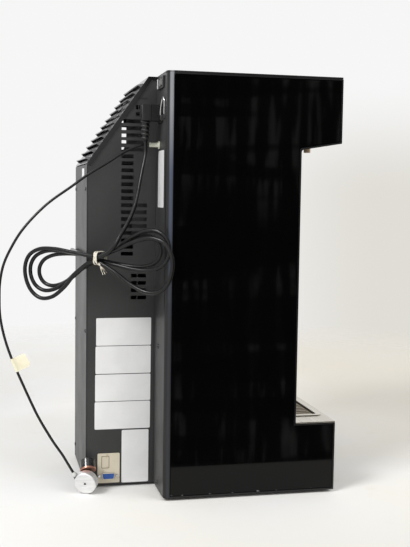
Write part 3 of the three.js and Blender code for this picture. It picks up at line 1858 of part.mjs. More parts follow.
const lastStop = farStops[farStops.length - 1];
const wallPlugAt = [lastStop[0], lastStop[1], hankZ - wallPlugDrop];
const tailRoute = [
  tailStart.toArray(),
  tailStraight.toArray(),
  ...tailNearStops.map(([side, rear, rise]) => [
    side - housingHalfWidth,
    housingRearY + rear,
    hankZ + rise,
  ]),
  [-housingHalfWidth / 2, ...tailMiddle],
  [0, ...tailMiddle],
  [housingHalfWidth / 2, ...tailMiddle],
  ...farStops,
  [wallPlugAt[0], wallPlugAt[1], wallPlugAt[2] + wallPlugRelief + seatGap],
];

function wallPlug() {
  const [x, y, z] = wallPlugAt;
  const body = turned(
    [
      [0, z - wallPlugLength],
      [wallPlugRadius - 2 * sheet, z - wallPlugLength],
      [wallPlugRadius, z - wallPlugLength + 2 * sheet],
      [wallPlugRadius, z - wallPlugLength / 2],
      [wallPlugRadius - wallPlugLength / 6, z - wallPlugLength / 6],
      [reliefTop, z],
      [reliefTip, z + wallPlugRelief],
      [0, z + wallPlugRelief],
    ],
    "z",
    [x, y, 0],
  );
  const pins = both(wallPinSpacing / 2).map((shift) =>
    bar(
      wallPinRadius,
      "z",
      [x, y + shift, 0],
      z - wallPlugLength - wallPinLength,
      z - wallPlugLength + sheet,
      smallRoundCount,
    ),
  );
  return join(body, ...pins);
}

const hoseStart = [
  fittingX,
  panelRearY + 2 * seatGap + fittingReach,
  fittingHeight,
];

// Regulator: a knob, leaning back, in front of an upright barrel on a neck, with an elbow
// for the hose. The knob is drawn along local +Z from its face and then laid down.
const regulatorTilt = radians(regulatorTiltDegrees);
const regulatorHeading = radians(-regulatorHeadingDegrees);
const knobFace = new THREE.Vector3(
  -housingHalfWidth - knobOut,
  housingRearY + knobBehind,
  knobRadius * Math.cos(regulatorTilt) - knobChamfer * Math.sin(regulatorTilt) + restGap,
);
const knobWay = new THREE.Vector3(
  Math.cos(regulatorTilt) * Math.cos(regulatorHeading),
  Math.cos(regulatorTilt) * Math.sin(regulatorHeading),
  Math.sin(regulatorTilt),
);
const regulator = new THREE.Group();
dispenser.add(regulator);
regulator.position.copy(knobFace);
regulator.quaternion.setFromUnitVectors(new THREE.Vector3(0, 0, 1), knobWay);

function regulatorKnob() {
  const profile = [
    [knobHole, knobHoleDepth],
    [knobHole, 0],
    [knobRadius - knobChamfer, 0],
    [knobRadius, knobChamfer],
    [knobRadius, knobLength - knobChamfer],
    [knobRadius - knobChamfer, knobLength],
    [0, knobLength],
    [0, knobHoleDepth],
    [knobHole, knobHoleDepth],
  ];
  return turned(profile, "z", [0, 0, 0], 36);
}

// A round bar from one place to another.
function strut(radius, from, to, count) {
  const way = to.clone().sub(from);
  const geometry = new THREE.CylinderGeometry(radius, radius, way.length(), count);
  geometry.translate(0, way.length() / 2, 0);
  const upright = new THREE.Vector3(0, 1, 0);
  way.normalize();
  geometry.applyQuaternion(new THREE.Quaternion().setFromUnitVectors(upright, way));
  geometry.translate(from.x, from.y, from.z);
  return solid(geometry);
}

const fromKnobFace = (shift) => knobFace.clone().add(new THREE.Vector3(...shift));
const portBend = fromKnobFace(portCorner);
const portEnd = portBend.clone().add(new THREE.Vector3(...portWay));

function regulatorBody() {
  const rear = knobFace.clone().addScaledVector(knobWay, knobLength);
  const neckFrom = rear.clone().addScaledVector(knobWay, seatGap);
  const neckTo = rear.clone().addScaledVector(knobWay, neckReach);
  const foot = fromKnobFace(barrelFoot);
  const lean = radians(barrelTiltDegrees);
  const rise = new THREE.Vector3(Math.cos(lean), 0, Math.sin(lean));
  const ringTop = foot.clone().addScaledVector(rise, collarLength);
  const barrelTop = foot.clone().addScaledVector(rise, barrelLength);
  const neckMiddle = new THREE.Vector3(neckTo.x, neckTo.y, portBend.z);
  const corner = new THREE.SphereGeometry(portCornerRadius, 12, 8);
  corner.translate(portBend.x, portBend.y, portBend.z);
  return join(
    strut(neckRadius, neckFrom, neckTo, 24),
    bar(neckRadius, "z", [neckTo.x, neckTo.y, 0], neckBottom, neckTop, 24),
    strut(barrelRadius, foot, barrelTop, 32),
    strut(collarRadius, foot, ringTop, 32),
    strut(portRadius, portBend, portEnd, 16),
    strut(portCornerRadius, portBend, neckMiddle, 16),
    solid(corner),
  );
}

// The hose from the fitting, out behind the dispenser and down to the regulator.
const hoseEndWay = portEnd.clone().sub(portBend).normalize();
const hoseRoute = [
  hoseStart,
  ...hoseStops.map(([side, rear, height]) => [
    hoseStart[0] + side,
    hoseStart[1] + rear,
    (fittingHeight * height) / hoseDrawnHeight,
  ]),
  portEnd.clone().addScaledVector(hoseEndWay, seatGap).toArray(),
];

const lead = tube(leadRoute, leadRadius, 26, 10);
const tail = tube(tailRoute, leadRadius, 34, 10);
const hose = tube(hoseRoute, hoseRadius, 64, 8);

const cords = new THREE.Group();
dispenser.add(cords);
add(cords, "mains_plug", mainsPlug(), finishes.rubber);
add(cords, "mains_lead", lead.body, finishes.rubber);
add(cords, "lead_hank", loopTube(hankPlaces, leadRadius, hankSideCount), finishes.rubber);
add(cords, "lead_tail", tail.body, finishes.rubber);
add(cords, "wall_plug", wallPlug(), finishes.rubber);
add(cords, "gas_hose", hose.body, finishes.rubber);
add(regulator, "regulator_knob", regulatorKnob(), finishes.aluminium);
add(cords, "regulator_body", regulatorBody(), finishes.blackPlastic);

const hankGap = selfGap(hankPlaces, leadRadius);
console.log(`hank: ${hankLength.toFixed(0)} mm, least gap to itself ${hankGap.toFixed(2)} mm`);
const leadLength = lead.length + hankLength + tail.length;
console.log(`mains lead: ${leadLength.toFixed(0)} mm, gas hose: ${hose.length.toFixed(0)} mm`);

export default dispenser;
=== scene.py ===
"""A countertop dispenser that keeps opened wine under gas, dressed for a plain pale studio."""
import math

import bpy
import numpy as np
from mathutils import Matrix


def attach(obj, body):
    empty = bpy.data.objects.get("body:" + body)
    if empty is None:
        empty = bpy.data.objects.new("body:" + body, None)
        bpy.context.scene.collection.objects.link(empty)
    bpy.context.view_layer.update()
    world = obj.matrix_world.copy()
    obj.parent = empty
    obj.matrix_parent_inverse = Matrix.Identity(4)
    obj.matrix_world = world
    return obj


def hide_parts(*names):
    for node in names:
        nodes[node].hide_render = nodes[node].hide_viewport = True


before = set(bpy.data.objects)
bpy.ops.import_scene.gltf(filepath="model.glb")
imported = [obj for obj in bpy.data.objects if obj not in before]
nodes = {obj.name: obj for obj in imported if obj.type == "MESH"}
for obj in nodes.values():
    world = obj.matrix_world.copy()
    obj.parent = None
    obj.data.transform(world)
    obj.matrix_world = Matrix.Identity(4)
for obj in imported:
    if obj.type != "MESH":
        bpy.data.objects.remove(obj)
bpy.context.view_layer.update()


# Camera

PHOTO_HEIGHT = 547.0  # in pixels
FOCAL_LENGTH = 958.6  # of the photograph's camera, in its pixels
SENSOR_HEIGHT = 36.0
CAMERA_PLACE = (-1.5901, 0.3459, 0.4663)


def stand_camera():
    """Stands the camera behind the dispenser's left corner, where the photograph was taken."""
    yaw, pitch, roll = 0.226, 0.0811, 0.0143
    ahead = np.array([
        math.cos(yaw) * math.cos(pitch), -math.sin(yaw) * math.cos(pitch), -math.sin(pitch)
    ])
    level = np.array([-math.sin(yaw), -math.cos(yaw), 0.0])
    upright = np.cross(level, ahead)
    right = level * math.cos(roll) + upright * math.sin(roll)
    up = upright * math.cos(roll) - level * math.sin(roll)
    camera = bpy.data.cameras.new("photo_camera")
    camera.sensor_fit = "VERTICAL"
    camera.sensor_height = SENSOR_HEIGHT
    camera.lens = SENSOR_HEIGHT * FOCAL_LENGTH / PHOTO_HEIGHT
    holder = bpy.data.objects.new("photo_camera", camera)
    bpy.context.scene.collection.objects.link(holder)
    pose = np.eye(4)
    pose[:3, 0], pose[:3, 1], pose[:3, 2] = right, up, -ahead
    pose[:3, 3] = CAMERA_PLACE
    holder.matrix_world = Matrix(pose.tolist())
    bpy.context.scene.camera = holder


stand_camera()


# Making pieces. Sizes below are in millimetres, and a piece is made in metres.

MM = 0.001
HOUSING_SIDE = -93.0  # its left face
HOUSING_REAR = 192.0
FLANGE_FACE = 83.0  # rear faces of the flange plates
PLATE_FACE = -94.8  # of the connector plate
LEFT, BACK, UP = (0, -1, 0), (-1, 0, 0), (0, 0, 1)  # rightward on the left and rear faces, and up


def unit(direction):
    """The direction at length one."""
    return np.asarray(direction, float) / np.linalg.norm(direction)


def piece(name, points, faces, body, smooth_below=35.0, runs=None):
    """A mesh of its own from an array of points and a list of faces, riding on a body.
    Its edges sharper than smooth_below degrees stay sharp. runs is one (u, v) per corner."""
    mesh = bpy.data.meshes.new(name)
    mesh.from_pydata(np.asarray(points, float).reshape(-1, 3).tolist(), [], faces)
    if runs is not None:
        layer = mesh.uv_layers.new(name="run")
        layer.uv.foreach_set("vector", np.asarray(runs, np.float32).ravel())
    mesh.shade_smooth()
    mesh.set_sharp_from_angle(angle=math.radians(smooth_below))
    mesh.update()
    made = bpy.data.objects.new(name, mesh)
    bpy.context.scene.collection.objects.link(made)
    if body:
        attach(made, body)
    return made


def skin(rows, ends=True, closed=False):
    """Faces over a grid of points, one row per station and one column per step round it.
    The last column joins the first. closed joins the last row to the first as well, and
    ends closes the first and last rows with a fan to a centre point that is added. Returns
    the points and the faces, all turned so that they look outwards: where the sum of the
    tetrahedra from the middle to the faces is negative, each face is reversed."""
    count, sides = rows.shape[:2]
    i, j = np.meshgrid(
        np.arange(count if closed else count - 1), np.arange(sides), indexing="ij"
    )
    after, beside = (i + 1) % count, (j + 1) % sides
    quads = np.stack(
        [i * sides + j, i * sides + beside, after * sides + beside, after * sides + j], -1
    ).reshape(-1, 4)
    points = rows.reshape(-1, 3)
    fans = np.empty((0, 3), int)
    if ends and not closed:
        points = np.vstack([points, rows[0].mean(0), rows[-1].mean(0)])
        step = np.arange(sides)
        follow = (step + 1) % sides
        last = (count - 1) * sides
        near = np.stack([follow, step, np.full(sides, count * sides)], -1)
        far = np.stack([last + step, last + follow, np.full(sides, count * sides + 1)], -1)
        fans = np.vstack([near, far])
    middle = points.mean(0)
    a, b, c, d = (points[quads[:, k]] - middle for k in range(4))
    volume = np.einsum("ij,ij->", a, np.cross(b, c)) + np.einsum("ij,ij->", a, np.cross(c, d))
    if len(fans):
        a, b, c = (points[fans[:, k]] - middle for k in range(3))
        volume += np.einsum("ij,ij->", a, np.cross(b, c))
    if volume < 0:
        quads = quads[:, ::-1]
        fans = fans[:, ::-1]
    return points, quads.tolist() + fans.tolist()


def together(shapes):
    """Several shapes as one: their points in a row, and each one's faces counted on."""
    points, faces, start = [], [], 0
    for some, theirs in shapes:
        points.append(some)
        faces += [[index + start for index in face] for face in theirs]
        start += len(some)
    return np.vstack(points), faces


def smooth_route(stops, spacing):
    """A smooth curve through the stops, read at even steps along it. Between two stops it
    is the cubic whose end slopes are the centripetal Catmull-Rom ones: knots stand apart
    by the square root of the distance, and the ends are carried on straight."""
    stops = np.asarray(stops, float)
    carried = np.vstack([2 * stops[0] - stops[1], stops, 2 * stops[-1] - stops[-2]])
    gaps = np.sqrt(np.linalg.norm(np.diff(carried, axis=0), axis=1))[:, None]
    p0, p1, p2, p3 = carried[:-3], carried[1:-2], carried[2:-1], carried[3:]
    g0, g1, g2 = gaps[:-2], gaps[1:-1], gaps[2:]
    slope1 = ((p1 - p0) / g0 - (p2 - p0) / (g0 + g1) + (p2 - p1) / g1) * g1
    slope2 = ((p2 - p1) / g1 - (p3 - p1) / (g1 + g2) + (p3 - p2) / g2) * g1
    t = np.linspace(0, 1, 61)[:-1, None, None]
    cubic = (
        p1
        + slope1 * t
        + (3 * (p2 - p1) - 2 * slope1 - slope2) * t**2
        + (2 * (p1 - p2) + slope1 + slope2) * t**3
    )
    fine = np.vstack([cubic.transpose(1, 0, 2).reshape(-1, 3), stops[-1]])
    run = np.append(0, np.cumsum(np.linalg.norm(np.diff(fine, axis=0), axis=1)))
    even = np.linspace(0, run[-1], max(2, int(round(run[-1] / spacing)) + 1))
    return np.stack([np.interp(even, run, fine[:, k]) for k in range(3)], -1)


def carried_frames(path):
    """Two directions square to the path at each place, carried along it without twist:
    each is the one before it less its part along the path there."""
    along = np.gradient(path, axis=0)
    along /= np.linalg.norm(along, axis=1)[:, None]
    across = np.empty_like(path)
    start = np.cross(along[0], (0.0, 0.0, 1.0))
    if np.linalg.norm(start) < 0.2:
        start = np.cross(along[0], (1.0, 0.0, 0.0))
    across[0] = start / np.linalg.norm(start)
    for k in range(1, len(path)):
        turned = across[k - 1] - along[k] * (across[k - 1] @ along[k])
        across[k] = turned / np.linalg.norm(turned)
    return across, np.cross(along, across)


def hose_skin(path, radius, sides):
    """A round tube: at each place of the path, a ring of the radius, spanned by the two
    carried directions. Also gives each face corner's length along and turn round."""
    across, upward = carried_frames(path)
    turn = np.linspace(0, 2 * math.pi, sides, endpoint=False)
    rows = path[:, None] + radius * (
        across[:, None] * np.cos(turn)[:, None] + upward[:, None] * np.sin(turn)[:, None]
    )
    points, faces = skin(rows)
    run = np.append(0, np.cumsum(np.linalg.norm(np.diff(path, axis=0), axis=1)))
    corners = np.concatenate([np.asarray(f) for f in faces])
    station = np.minimum(corners // sides, len(path) - 1)
    u = np.where(corners < len(path) * sides, run[station], run[-1])
    v = (corners % sides) / sides
    return points, faces, np.stack([u, v], -1)


def strand_skin(path, wide, thick, twist=0.0, fade=0.0):
    """A flat strand: an oval section (wide/2 cos a, thick/2 sin a) carried along the path
    and turned by twist radians from end to end. Its size falls by the share fade."""
    across, upward = carried_frames(path)
    part = np.linspace(0, 1, len(path))[:, None]
    turn = twist * part
    side = across * np.cos(turn) + upward * np.sin(turn)
    face = upward * np.cos(turn) - across * np.sin(turn)
    a = np.linspace(0, 2 * math.pi, 10, endpoint=False)[:, None]
    size = (1 - fade * part)[:, :, None]
    rows = path[:, None] + size * (
        side[:, None] * (wide / 2 * np.cos(a)) + face[:, None] * (thick / 2 * np.sin(a))
    )
    return skin(rows)


def rounded_ring(width, height, corner, steps=6):
    """The outline of a rounded rectangle: round each of the four corner centres, a quarter
    circle (corner cos a, corner sin a), with a going on from one corner to the next."""
    corner = min(corner, width / 2, height / 2)
    a = np.linspace(0, math.pi / 2, steps) + np.arange(4)[:, None] * math.pi / 2
    x = (width / 2 - corner) * np.array([1, -1, -1, 1])[:, None] + corner * np.cos(a)
    y = (height / 2 - corner) * np.array([1, 1, -1, -1])[:, None] + corner * np.sin(a)
    return np.stack([x, y], -1).reshape(-1, 2)


def stacked(centre, right, up, width, height, corner, profile):
    """A low solid on a flat face: for each (inset, rise) of the profile, the rounded
    outline drawn in by the inset and lifted by the rise, from the front to the back."""
    right, up = unit(right), unit(up)
    out = np.cross(right, up)
    rows = []
    for inset, rise in profile:
        ring = rounded_ring(width - 2 * inset, height - 2 * inset, max(corner - inset, 0.05))
        rows.append(np.asarray(centre) + ring[:, :1] * right + ring[:, 1:] * up + rise * out)
    return skin(np.stack(rows))


def domed(centre, right, up, radius, height, cross, depth):
    """A round head: at the share r of its radius it stands height (1 - r^4)^(1/2) high.
    Where the lesser of |x| and |y| is under the cross's half width and the greater under
    0.62 of the radius, it is lower by the depth."""
    right, up = unit(right), unit(up)
    out = np.cross(right, up)
    share = np.array([0.03, 0.12, 0.2, 0.3, 0.42, 0.54, 0.6, 0.64, 0.75, 0.86, 0.94, 0.985, 1.0])
    a = np.linspace(0, 2 * math.pi, 32, endpoint=False)
    x = radius * share[:, None] * np.cos(a)
    y = radius * share[:, None] * np.sin(a)
    rise = np.broadcast_to(height * np.sqrt(1 - share[:, None] ** 4), x.shape).copy()
    less, more = np.minimum(abs(x), abs(y)), np.maximum(abs(x), abs(y))
    rise[(less < cross) & (more < 0.62 * radius)] -= depth
    rows = (
        np.asarray(centre)
        + x[..., None] * right
        + y[..., None] * up
        + rise[..., None] * out
    )
    foot = rows[-1:] - 0.02 * out - rise[-1].max() * out
    return skin(np.concatenate([rows, foot]))


def spun(profile, centre, axis, sides=40):
    """A turned shape: each (radius, height) of the profile as a ring round the axis."""
    axis = unit(axis)
    side = unit(np.cross(axis, (0.0, 0.0, 1.0) if abs(axis[2]) < 0.9 else (1.0, 0.0, 0.0)))
    front = np.cross(axis, side)
    a = np.linspace(0, 2 * math.pi, sides, endpoint=False)[:, None]
    rows = [
        np.asarray(centre) + height * axis + radius * (np.cos(a) * side + np.sin(a) * front)
        for radius, height in profile
    ]
    return skin(np.stack(rows))


def fitted(name, shape, smooth_below=35.0):
    """A piece on the cabinet from a shape whose sizes are in millimetres."""
    points, faces = shape
    return piece(name, points * MM, faces, "cabinet", smooth_below)


# Cords: the same route points as the solids that they stand for

LEAD_RADIUS = 3.1
HOSE_RADIUS = 2.0
SEAT_GAP = 0.3
HANK_CENTRE = np.array([-117.4, 173.3, 368.0])
HANK_ALONG = np.array([math.cos(math.radians(233)), math.sin(math.radians(233)), 0.0])
HANK_UP = np.array([0.0, 0.0, 1.0])
HANK_OUT = np.cross(HANK_ALONG, HANK_UP)
HOSE_END = np.array([-103, 210.8, 26.17])
HOSE_END_WAY = np.array([0, 6.3, 9.5])


def hank_route():
    """The coiled stretch of the lead, as one line. In turns t, with s = sin(2 pi t), a loop
    is a long oval drawn in at the waist: x = -reach s, and y = cos(2 pi t) times the waist
    and the swell's share (s^2 + soft^2)^(1/2) - soft. Each lobe is turned by its tilt times
    tanh(3 s), and each turn lies a layer nearer the dispenser."""
    reach = np.array([127, 133, 122, 125, 111, 107], float)
    swell = np.array([97, 102, 75, 72, 56, 54], float)
    tilt = np.radians([17, 4, 15, -10, 16, -10])
    waist, soft, layer = 4.1, 0.22, 7.8
    loops, steps = 3, 24
    turns = np.arange(loops * steps + 1) / steps
    phase = 2 * math.pi * turns
    sine = np.sin(phase)
    half = np.minimum(np.floor(2 * turns).astype(int), 2 * loops - 1)
    x = -reach[half] * sine
    y = np.cos(phase) * (waist + swell[half] * (np.hypot(sine, soft) - soft))
    lean = tilt[half] * np.tanh(3 * sine)
    places = (
        HANK_CENTRE
        + np.outer(x * np.cos(lean) - y * np.sin(lean), HANK_ALONG)
        + np.outer(x * np.sin(lean) + y * np.cos(lean), HANK_UP)
        + np.outer(layer * (loops - turns), HANK_OUT)
    )
    first = places[0] - places[1]
    last = places[-1] - places[-2]
    first[2] = last[2] = 0
    first *= 2 * LEAD_RADIUS / np.linalg.norm(first)
    last *= 2 * LEAD_RADIUS / np.linalg.norm(last)
    return np.vstack([places[0] + first, places, places[-1] + last])


def lead_route():
    """The whole mains lead: down from the plug, through the hank, round the back."""
    hank = hank_route()
    into = unit(hank[0] - hank[1])
    away = unit(hank[-1] - hank[-2])
    down = np.array([-130, 106.6, 548.2]) + [
        [0, 0, 0], [0.4, -0.6, -9.4], [-2.7, 0.5, -23.4], [-8.4, 5.2, -43.1],
        [-14.9, 10.3, -65], [-20.8, 16, -90], [-24, 23.5, -111], [-25.2, 31.9, -128.2],
        [-25.3, 41, -143.3], [-26.3, 49.4, -158.5], [-20.5, 61, -171.8],
    ]
    near_corner = np.array([-93, 192, 368]) + [
        [-11.9, -2.5, 4.1], [-6.3, 2.8, 4], [1, 6.4, 3.8], [8.6, 7.5, 3.5],
    ]
    middle = [[-46.5, 199.5, 370.5], [0, 199.5, 370.5], [46.5, 199.5, 370.5]]
    far_corner = np.array([93, 192, 368]) + [
        [-9, 6.5, 1], [9, -2, -4], [19, -17, -16], [21, -32, -34], [21, -40, -56],
        [21, -42, -70],
    ]
    stand_off = SEAT_GAP + 2 * LEAD_RADIUS
    return np.vstack([
        down, hank[0] + into * stand_off, hank, hank[-1] + away * stand_off,
        near_corner, middle, far_corner, [[114, 150, 288.3]],
    ])


def hose_route():
    """The gas hose: out behind the dispenser in a wide bow and down to the regulator."""
    stops = np.array([
        [0, 0, 543], [0, 12.4, 542], [-0.5, 36.4, 532], [-1, 63.4, 514.5], [-2, 94.4, 495],
        [-3, 117.4, 478], [-4.5, 156.9, 448.7], [-6, 190.9, 412.4], [-7, 208.4, 384.4],
        [-8, 219.9, 358.5], [-8.5, 225, 333], [-9, 226, 308.5], [-9.5, 225, 281.3],
        [-10, 218.9, 250], [-11, 208.2, 217], [-12, 192.4, 179], [-13, 170.4, 130],
        [-14, 160.1, 110.9], [-13, 154, 100.3], [-10, 146.9, 87.9], [-4, 138.9, 74.7],
        [3, 130.6, 61.4], [10, 122.3, 46], [16.4, 114, 30.8],
    ])
    end = HOSE_END + SEAT_GAP * unit(HOSE_END_WAY)
    return np.vstack([stops + [-120, 99.6, 0], end])


def make_tie():
    """A paper-covered wire wrapped twice round the waist of the hank, its two ends twisted
    together below it and frayed. A wrap is a band round a rounded oblong: for each place
    of its outline, a section of six sides (along, outward)."""
    shapes = []
    section = np.array([
        [-1.3, 0.25], [-0.8, 0.6], [0.8, 0.6], [1.3, 0.25], [0.9, -0.15], [-0.9, -0.15]
    ])
    for shift, lean, grow in ((5.2, 0.16, 0.0), (8.6, -0.06, 0.3), (6.9, -0.3, 0.9)):
        ring = rounded_ring(31.6 + grow, 19.0 + grow, 8.0, 10)
        away = ring / np.linalg.norm(ring, axis=1)[:, None]
        edge = ring[:, None] + away[:, None] * section[:, 1:]
        along = (shift + lean * ring[:, 1])[:, None] + section[:, 0]
        rows = (
            HANK_CENTRE
            + 11.7 * HANK_OUT
            + 0.9 * HANK_UP
            + edge[:, :, :1] * HANK_OUT
            + edge[:, :, 1:] * HANK_UP
            + along[:, :, None] * HANK_ALONG
        )
        shapes.append(skin(rows, closed=True))
    knot = np.array([-142.2, 176.8, 358.4])
    neck = smooth_route([knot + [0.4, 1.8, 3.6], knot + [-0.2, 0.8, 1.8], knot], 0.6)
    shapes.append(strand_skin(neck, 3.4, 2.6, 2.5))
    for k, (reach, drop, out, twist) in enumerate([
        (8.0, 13.5, 1.4, 5.5), (5.0, 14.5, -0.6, -5.0), (10.5, 11.0, 0.4, 4.0),
        (3.0, 10.5, 1.8, -3.5), (6.6, 9.5, -1.6, 3.0),
    ]):
        bow = knot + [-1.0 - 0.6 * out, -0.5 * reach, -0.42 * drop - k % 2]
        strand = smooth_route([knot + [0, 0.1, 0.2], bow, knot - [out, reach, drop]], 0.7)
        shapes.append(strand_skin(strand, 1.8 - 0.15 * k, 0.5, twist, 0.4))
    return fitted("cord_twist_tie", together(shapes), smooth_below=50.0)


def make_tape_flag(path):
    """A strip of tape folded round the hose and stuck to itself. At each place of the hose
    the section runs out along one face, back along the other and round the hose, as
    (reach, side) pairs, and the reach is drawn in at the corners by a quarter circle."""
    flag_foot, flag_top = 196.5, 217.5
    here = path[(path[:, 2] < flag_top) & (path[:, 2] > flag_foot)]
    along = unit(here[-1] - here[0])
    forward = np.array([0.06, -1.0, 0.03])
    reach_way = unit(forward - along * (forward @ along))
    side_way = np.cross(along, reach_way)
    part = np.linspace(0, 1, len(here))
    run = part * np.linalg.norm(here[-1] - here[0])
    top, low = 1.5, 7.0
    inset = np.where(run < top, top - np.sqrt(np.maximum(0, top**2 - (top - run) ** 2)), 0.0)
    left = run[-1] - run
    inset += np.where(left < low, low - np.sqrt(np.maximum(0, low**2 - (low - left) ** 2)), 0.0)
    reach = 20.5 + 3.2 * part - inset
    hug = HOSE_RADIUS + 0.18
    a = np.linspace(0.35, 2 * math.pi - 0.35, 15)
    round_hose = np.stack([hug * np.cos(a), hug * np.sin(a)], -1)
    out_share = np.array([0.25, 0.45, 0.65, 0.82, 0.94, 1.0])
    rows = []
    for k, place in enumerate(here):
        span = hug + 0.6 + out_share * (reach[k] - hug - 0.6)
        curl = 1.1 * (span / 24.0) ** 2 * math.sin(3.0 * part[k] + 0.6)
        upper = np.stack([span, 0.16 + curl], -1)
        lower = np.stack([span, -0.16 + curl], -1)
        section = np.vstack([upper[::-1], round_hose, lower])
        rows.append(place + section[:, :1] * reach_way + section[:, 1:] * side_way)
    return fitted("hose_tape_flag", skin(np.stack(rows)), smooth_below=60.0)


def make_boot_ribs():
    """The ribs moulded round the boot of the plug: each a round bead on a ring round it."""
    shapes = []
    for k, height in enumerate((576.2, 570.2, 564.2, 558.2, 552.2)):
        radius = 6.4 - 0.32 * k
        bead = np.linspace(0, 2 * math.pi, 9)[:-1]
        profile = np.stack([radius + 1.15 * np.cos(bead), 1.15 * np.sin(bead)], -1)
        a = np.linspace(0, 2 * math.pi, 28, endpoint=False)
        rows = np.stack([
            -130.0 + profile[:, :1].T * np.cos(a)[:, None],
            106.6 + profile[:, :1].T * np.sin(a)[:, None],
            height + profile[:, 1:].T + 0.12 * radius * np.sin(a)[:, None],
        ], -1)
        shapes.append(skin(rows, closed=True))
    return fitted("plug_boot_ribs", together(shapes), smooth_below=60.0)


def run_cords():
    """Makes the mains lead and the gas hose with what is on them."""
    path = smooth_route(lead_route(), 2.8) * MM
    points, faces, runs = hose_skin(path, LEAD_RADIUS * MM, 20)
    lead = piece("mains_lead_cord", points, faces, "cabinet", runs=runs)
    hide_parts("mains_lead", "lead_hank", "lead_tail")
    tie = make_tie()
    ribs = make_boot_ribs()
    path = smooth_route(hose_route(), 3.0) * MM
    points, faces, runs = hose_skin(path, HOSE_RADIUS * MM, 20)
    hose = piece("gas_hose_tube", points, faces, "cabinet", runs=runs)
    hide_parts("gas_hose")
    flag = make_tape_flag(smooth_route(hose_route(), 0.9))
    return lead, hose, tie, ribs, flag


lead, hose, tie, boot_ribs, flag = run_cords()


# Labels, screws and small fittings

LABEL = [(1.2, 0.17), (0.25, 0.17), (0.05, 0.13), (0.0, 0.06), (0.4, 0.01)]


def side_label(name, low, high, foot, top):
    """A blank label on the near side of the housing, between two depths and heights."""
    centre = (HOUSING_SIDE, (low + high) / 2, (foot + top) / 2)
    return fitted(name, stacked(centre, LEFT, UP, high - low, top - foot, 1.8, LABEL))


def on_rear(x, y, z, width, height, corner):
    """The shape of a blank label on a face that looks to the rear."""
    return stacked((x, y, z), BACK, UP, width, height, corner, LABEL)


def make_labels():
    """The blank labels: five on the side of the housing, and one each on the flange, on the
    rear and by the switch."""
    edges = (
        (88.6, 176.2, 227.6, 271.6), (88.8, 177.0, 182.6, 226.6), (89.0, 177.4, 138.4, 181.4),
        (89.2, 178.0, 93.2, 137.4), (91.2, 134.6, 5.2, 91.0),
    )
    on_side = [side_label(f"side_label_{k}", *edge) for k, edge in enumerate(edges, 1)]
    return on_side + [
        fitted("flange_label", on_rear(-136, FLANGE_FACE, 490.5, 48, 87, 2.0)),
        fitted("rear_label", on_rear(-37, HOUSING_REAR, 500, 34, 14, 1.2)),
        fitted("switch_label", on_rear(-105, FLANGE_FACE, 638, 21, 15, 1.2)),
    ]


def screw(name, centre, radius, height, turn):
    """A pan-head screw on a rear face, with a cross recess turned by turn radians."""
    right, up = unit(BACK), unit(UP)
    across = math.cos(turn) * right + math.sin(turn) * up
    along = math.cos(turn) * up - math.sin(turn) * right
    shape = domed(centre, across, along, radius, height, 0.16 * radius, 0.45 * height)
    return fitted(name, shape)


def make_screws():
    """Screws on the flanges and on the rear of the housing. The left flange has none at the
    top."""
    made = []
    for side, sign in (("left", -1), ("right", 1)):
        for k, height in enumerate((14.0, 230.5, 420.0)):
            if side == "left" and k == 2:
                continue
            place = (sign * 129, FLANGE_FACE, height)
            made.append(screw(f"flange_screw_{side}_{k + 1}", place, 3.6, 2.0, 0.3 + 0.7 * k))
        for k, height in enumerate((26.0, 250.0, 474.0)):
            place = (sign * 81, HOUSING_REAR, height)
            turn = 1.1 * k + 0.5 * sign
            made.append(screw(f"rear_screw_{side}_{k + 1}", place, 3.2, 1.6, turn))
    return made


def make_plate_trim():
    """What stands on the connector plate: two hexagonal nuts beside the socket, and the
    raised edge of a blanked window above it."""
    nuts = []
    for y, z in ((170.4, 18.6), (142.2, 18.6)):
        nuts.append(spun(
            [(2.0, 0.0), (2.5, 0.15), (2.5, 3.2), (1.9, 3.7), (1.1, 3.7), (1.0, 2.4)],
            (PLATE_FACE, y, z), (-1, 0, 0), 6,
        ))
    frame_ring = []
    for inset, rise in ((0.9, 0.0), (0.9, 0.35), (0.5, 0.5), (0.0, 0.35), (0.0, 0.0)):
        ring = rounded_ring(12.6 - 2 * inset, 20.0 - 2 * inset, 1.4 - inset * 0.6)
        frame_ring.append(
            np.array([PLATE_FACE, 160.8, 40.5])
            + ring[:, :1] * np.array(LEFT)
            + ring[:, 1:] * np.array(UP)
            + np.array([-rise, 0, 0])
        )
    window = skin(np.stack(frame_ring), closed=True)
    return (
        fitted("plate_nuts", together(nuts), smooth_below=25.0),
        fitted("plate_window_edge", window),
    )


def make_socket_shell():
    """The bright pressed shell round the blue socket on the plate."""
    rows = []
    for inset, rise in ((0.0, 0.0), (0.0, 4.6), (0.35, 5.0), (0.75, 4.6), (0.75, 0.0)):
        ring = rounded_ring(20.6 - 2 * inset, 10.8 - 2 * inset, 2.6 - inset)
        rows.append(
            np.array([PLATE_FACE - rise, 156.25, 18.6])
            + ring[:, :1] * np.array(LEFT)
            + ring[:, 1:] * np.array(UP)
        )
    return fitted("socket_shell", skin(np.stack(rows), closed=True))


def make_slot_shade_strip():
    """A thin black strip in the slot above the vents: painted shade, standing for the dark inside
    the slot.
    """
    edge = [(0.5, 0.1), (0.1, 0.12), (0.0, 0.06), (0.3, 0.01)]
    centre = (HOUSING_SIDE, 104.1, 616.2)
    return fitted("slot_shade_strip", stacked(centre, LEFT, UP, 14.4, 2.6, 1.2, edge))


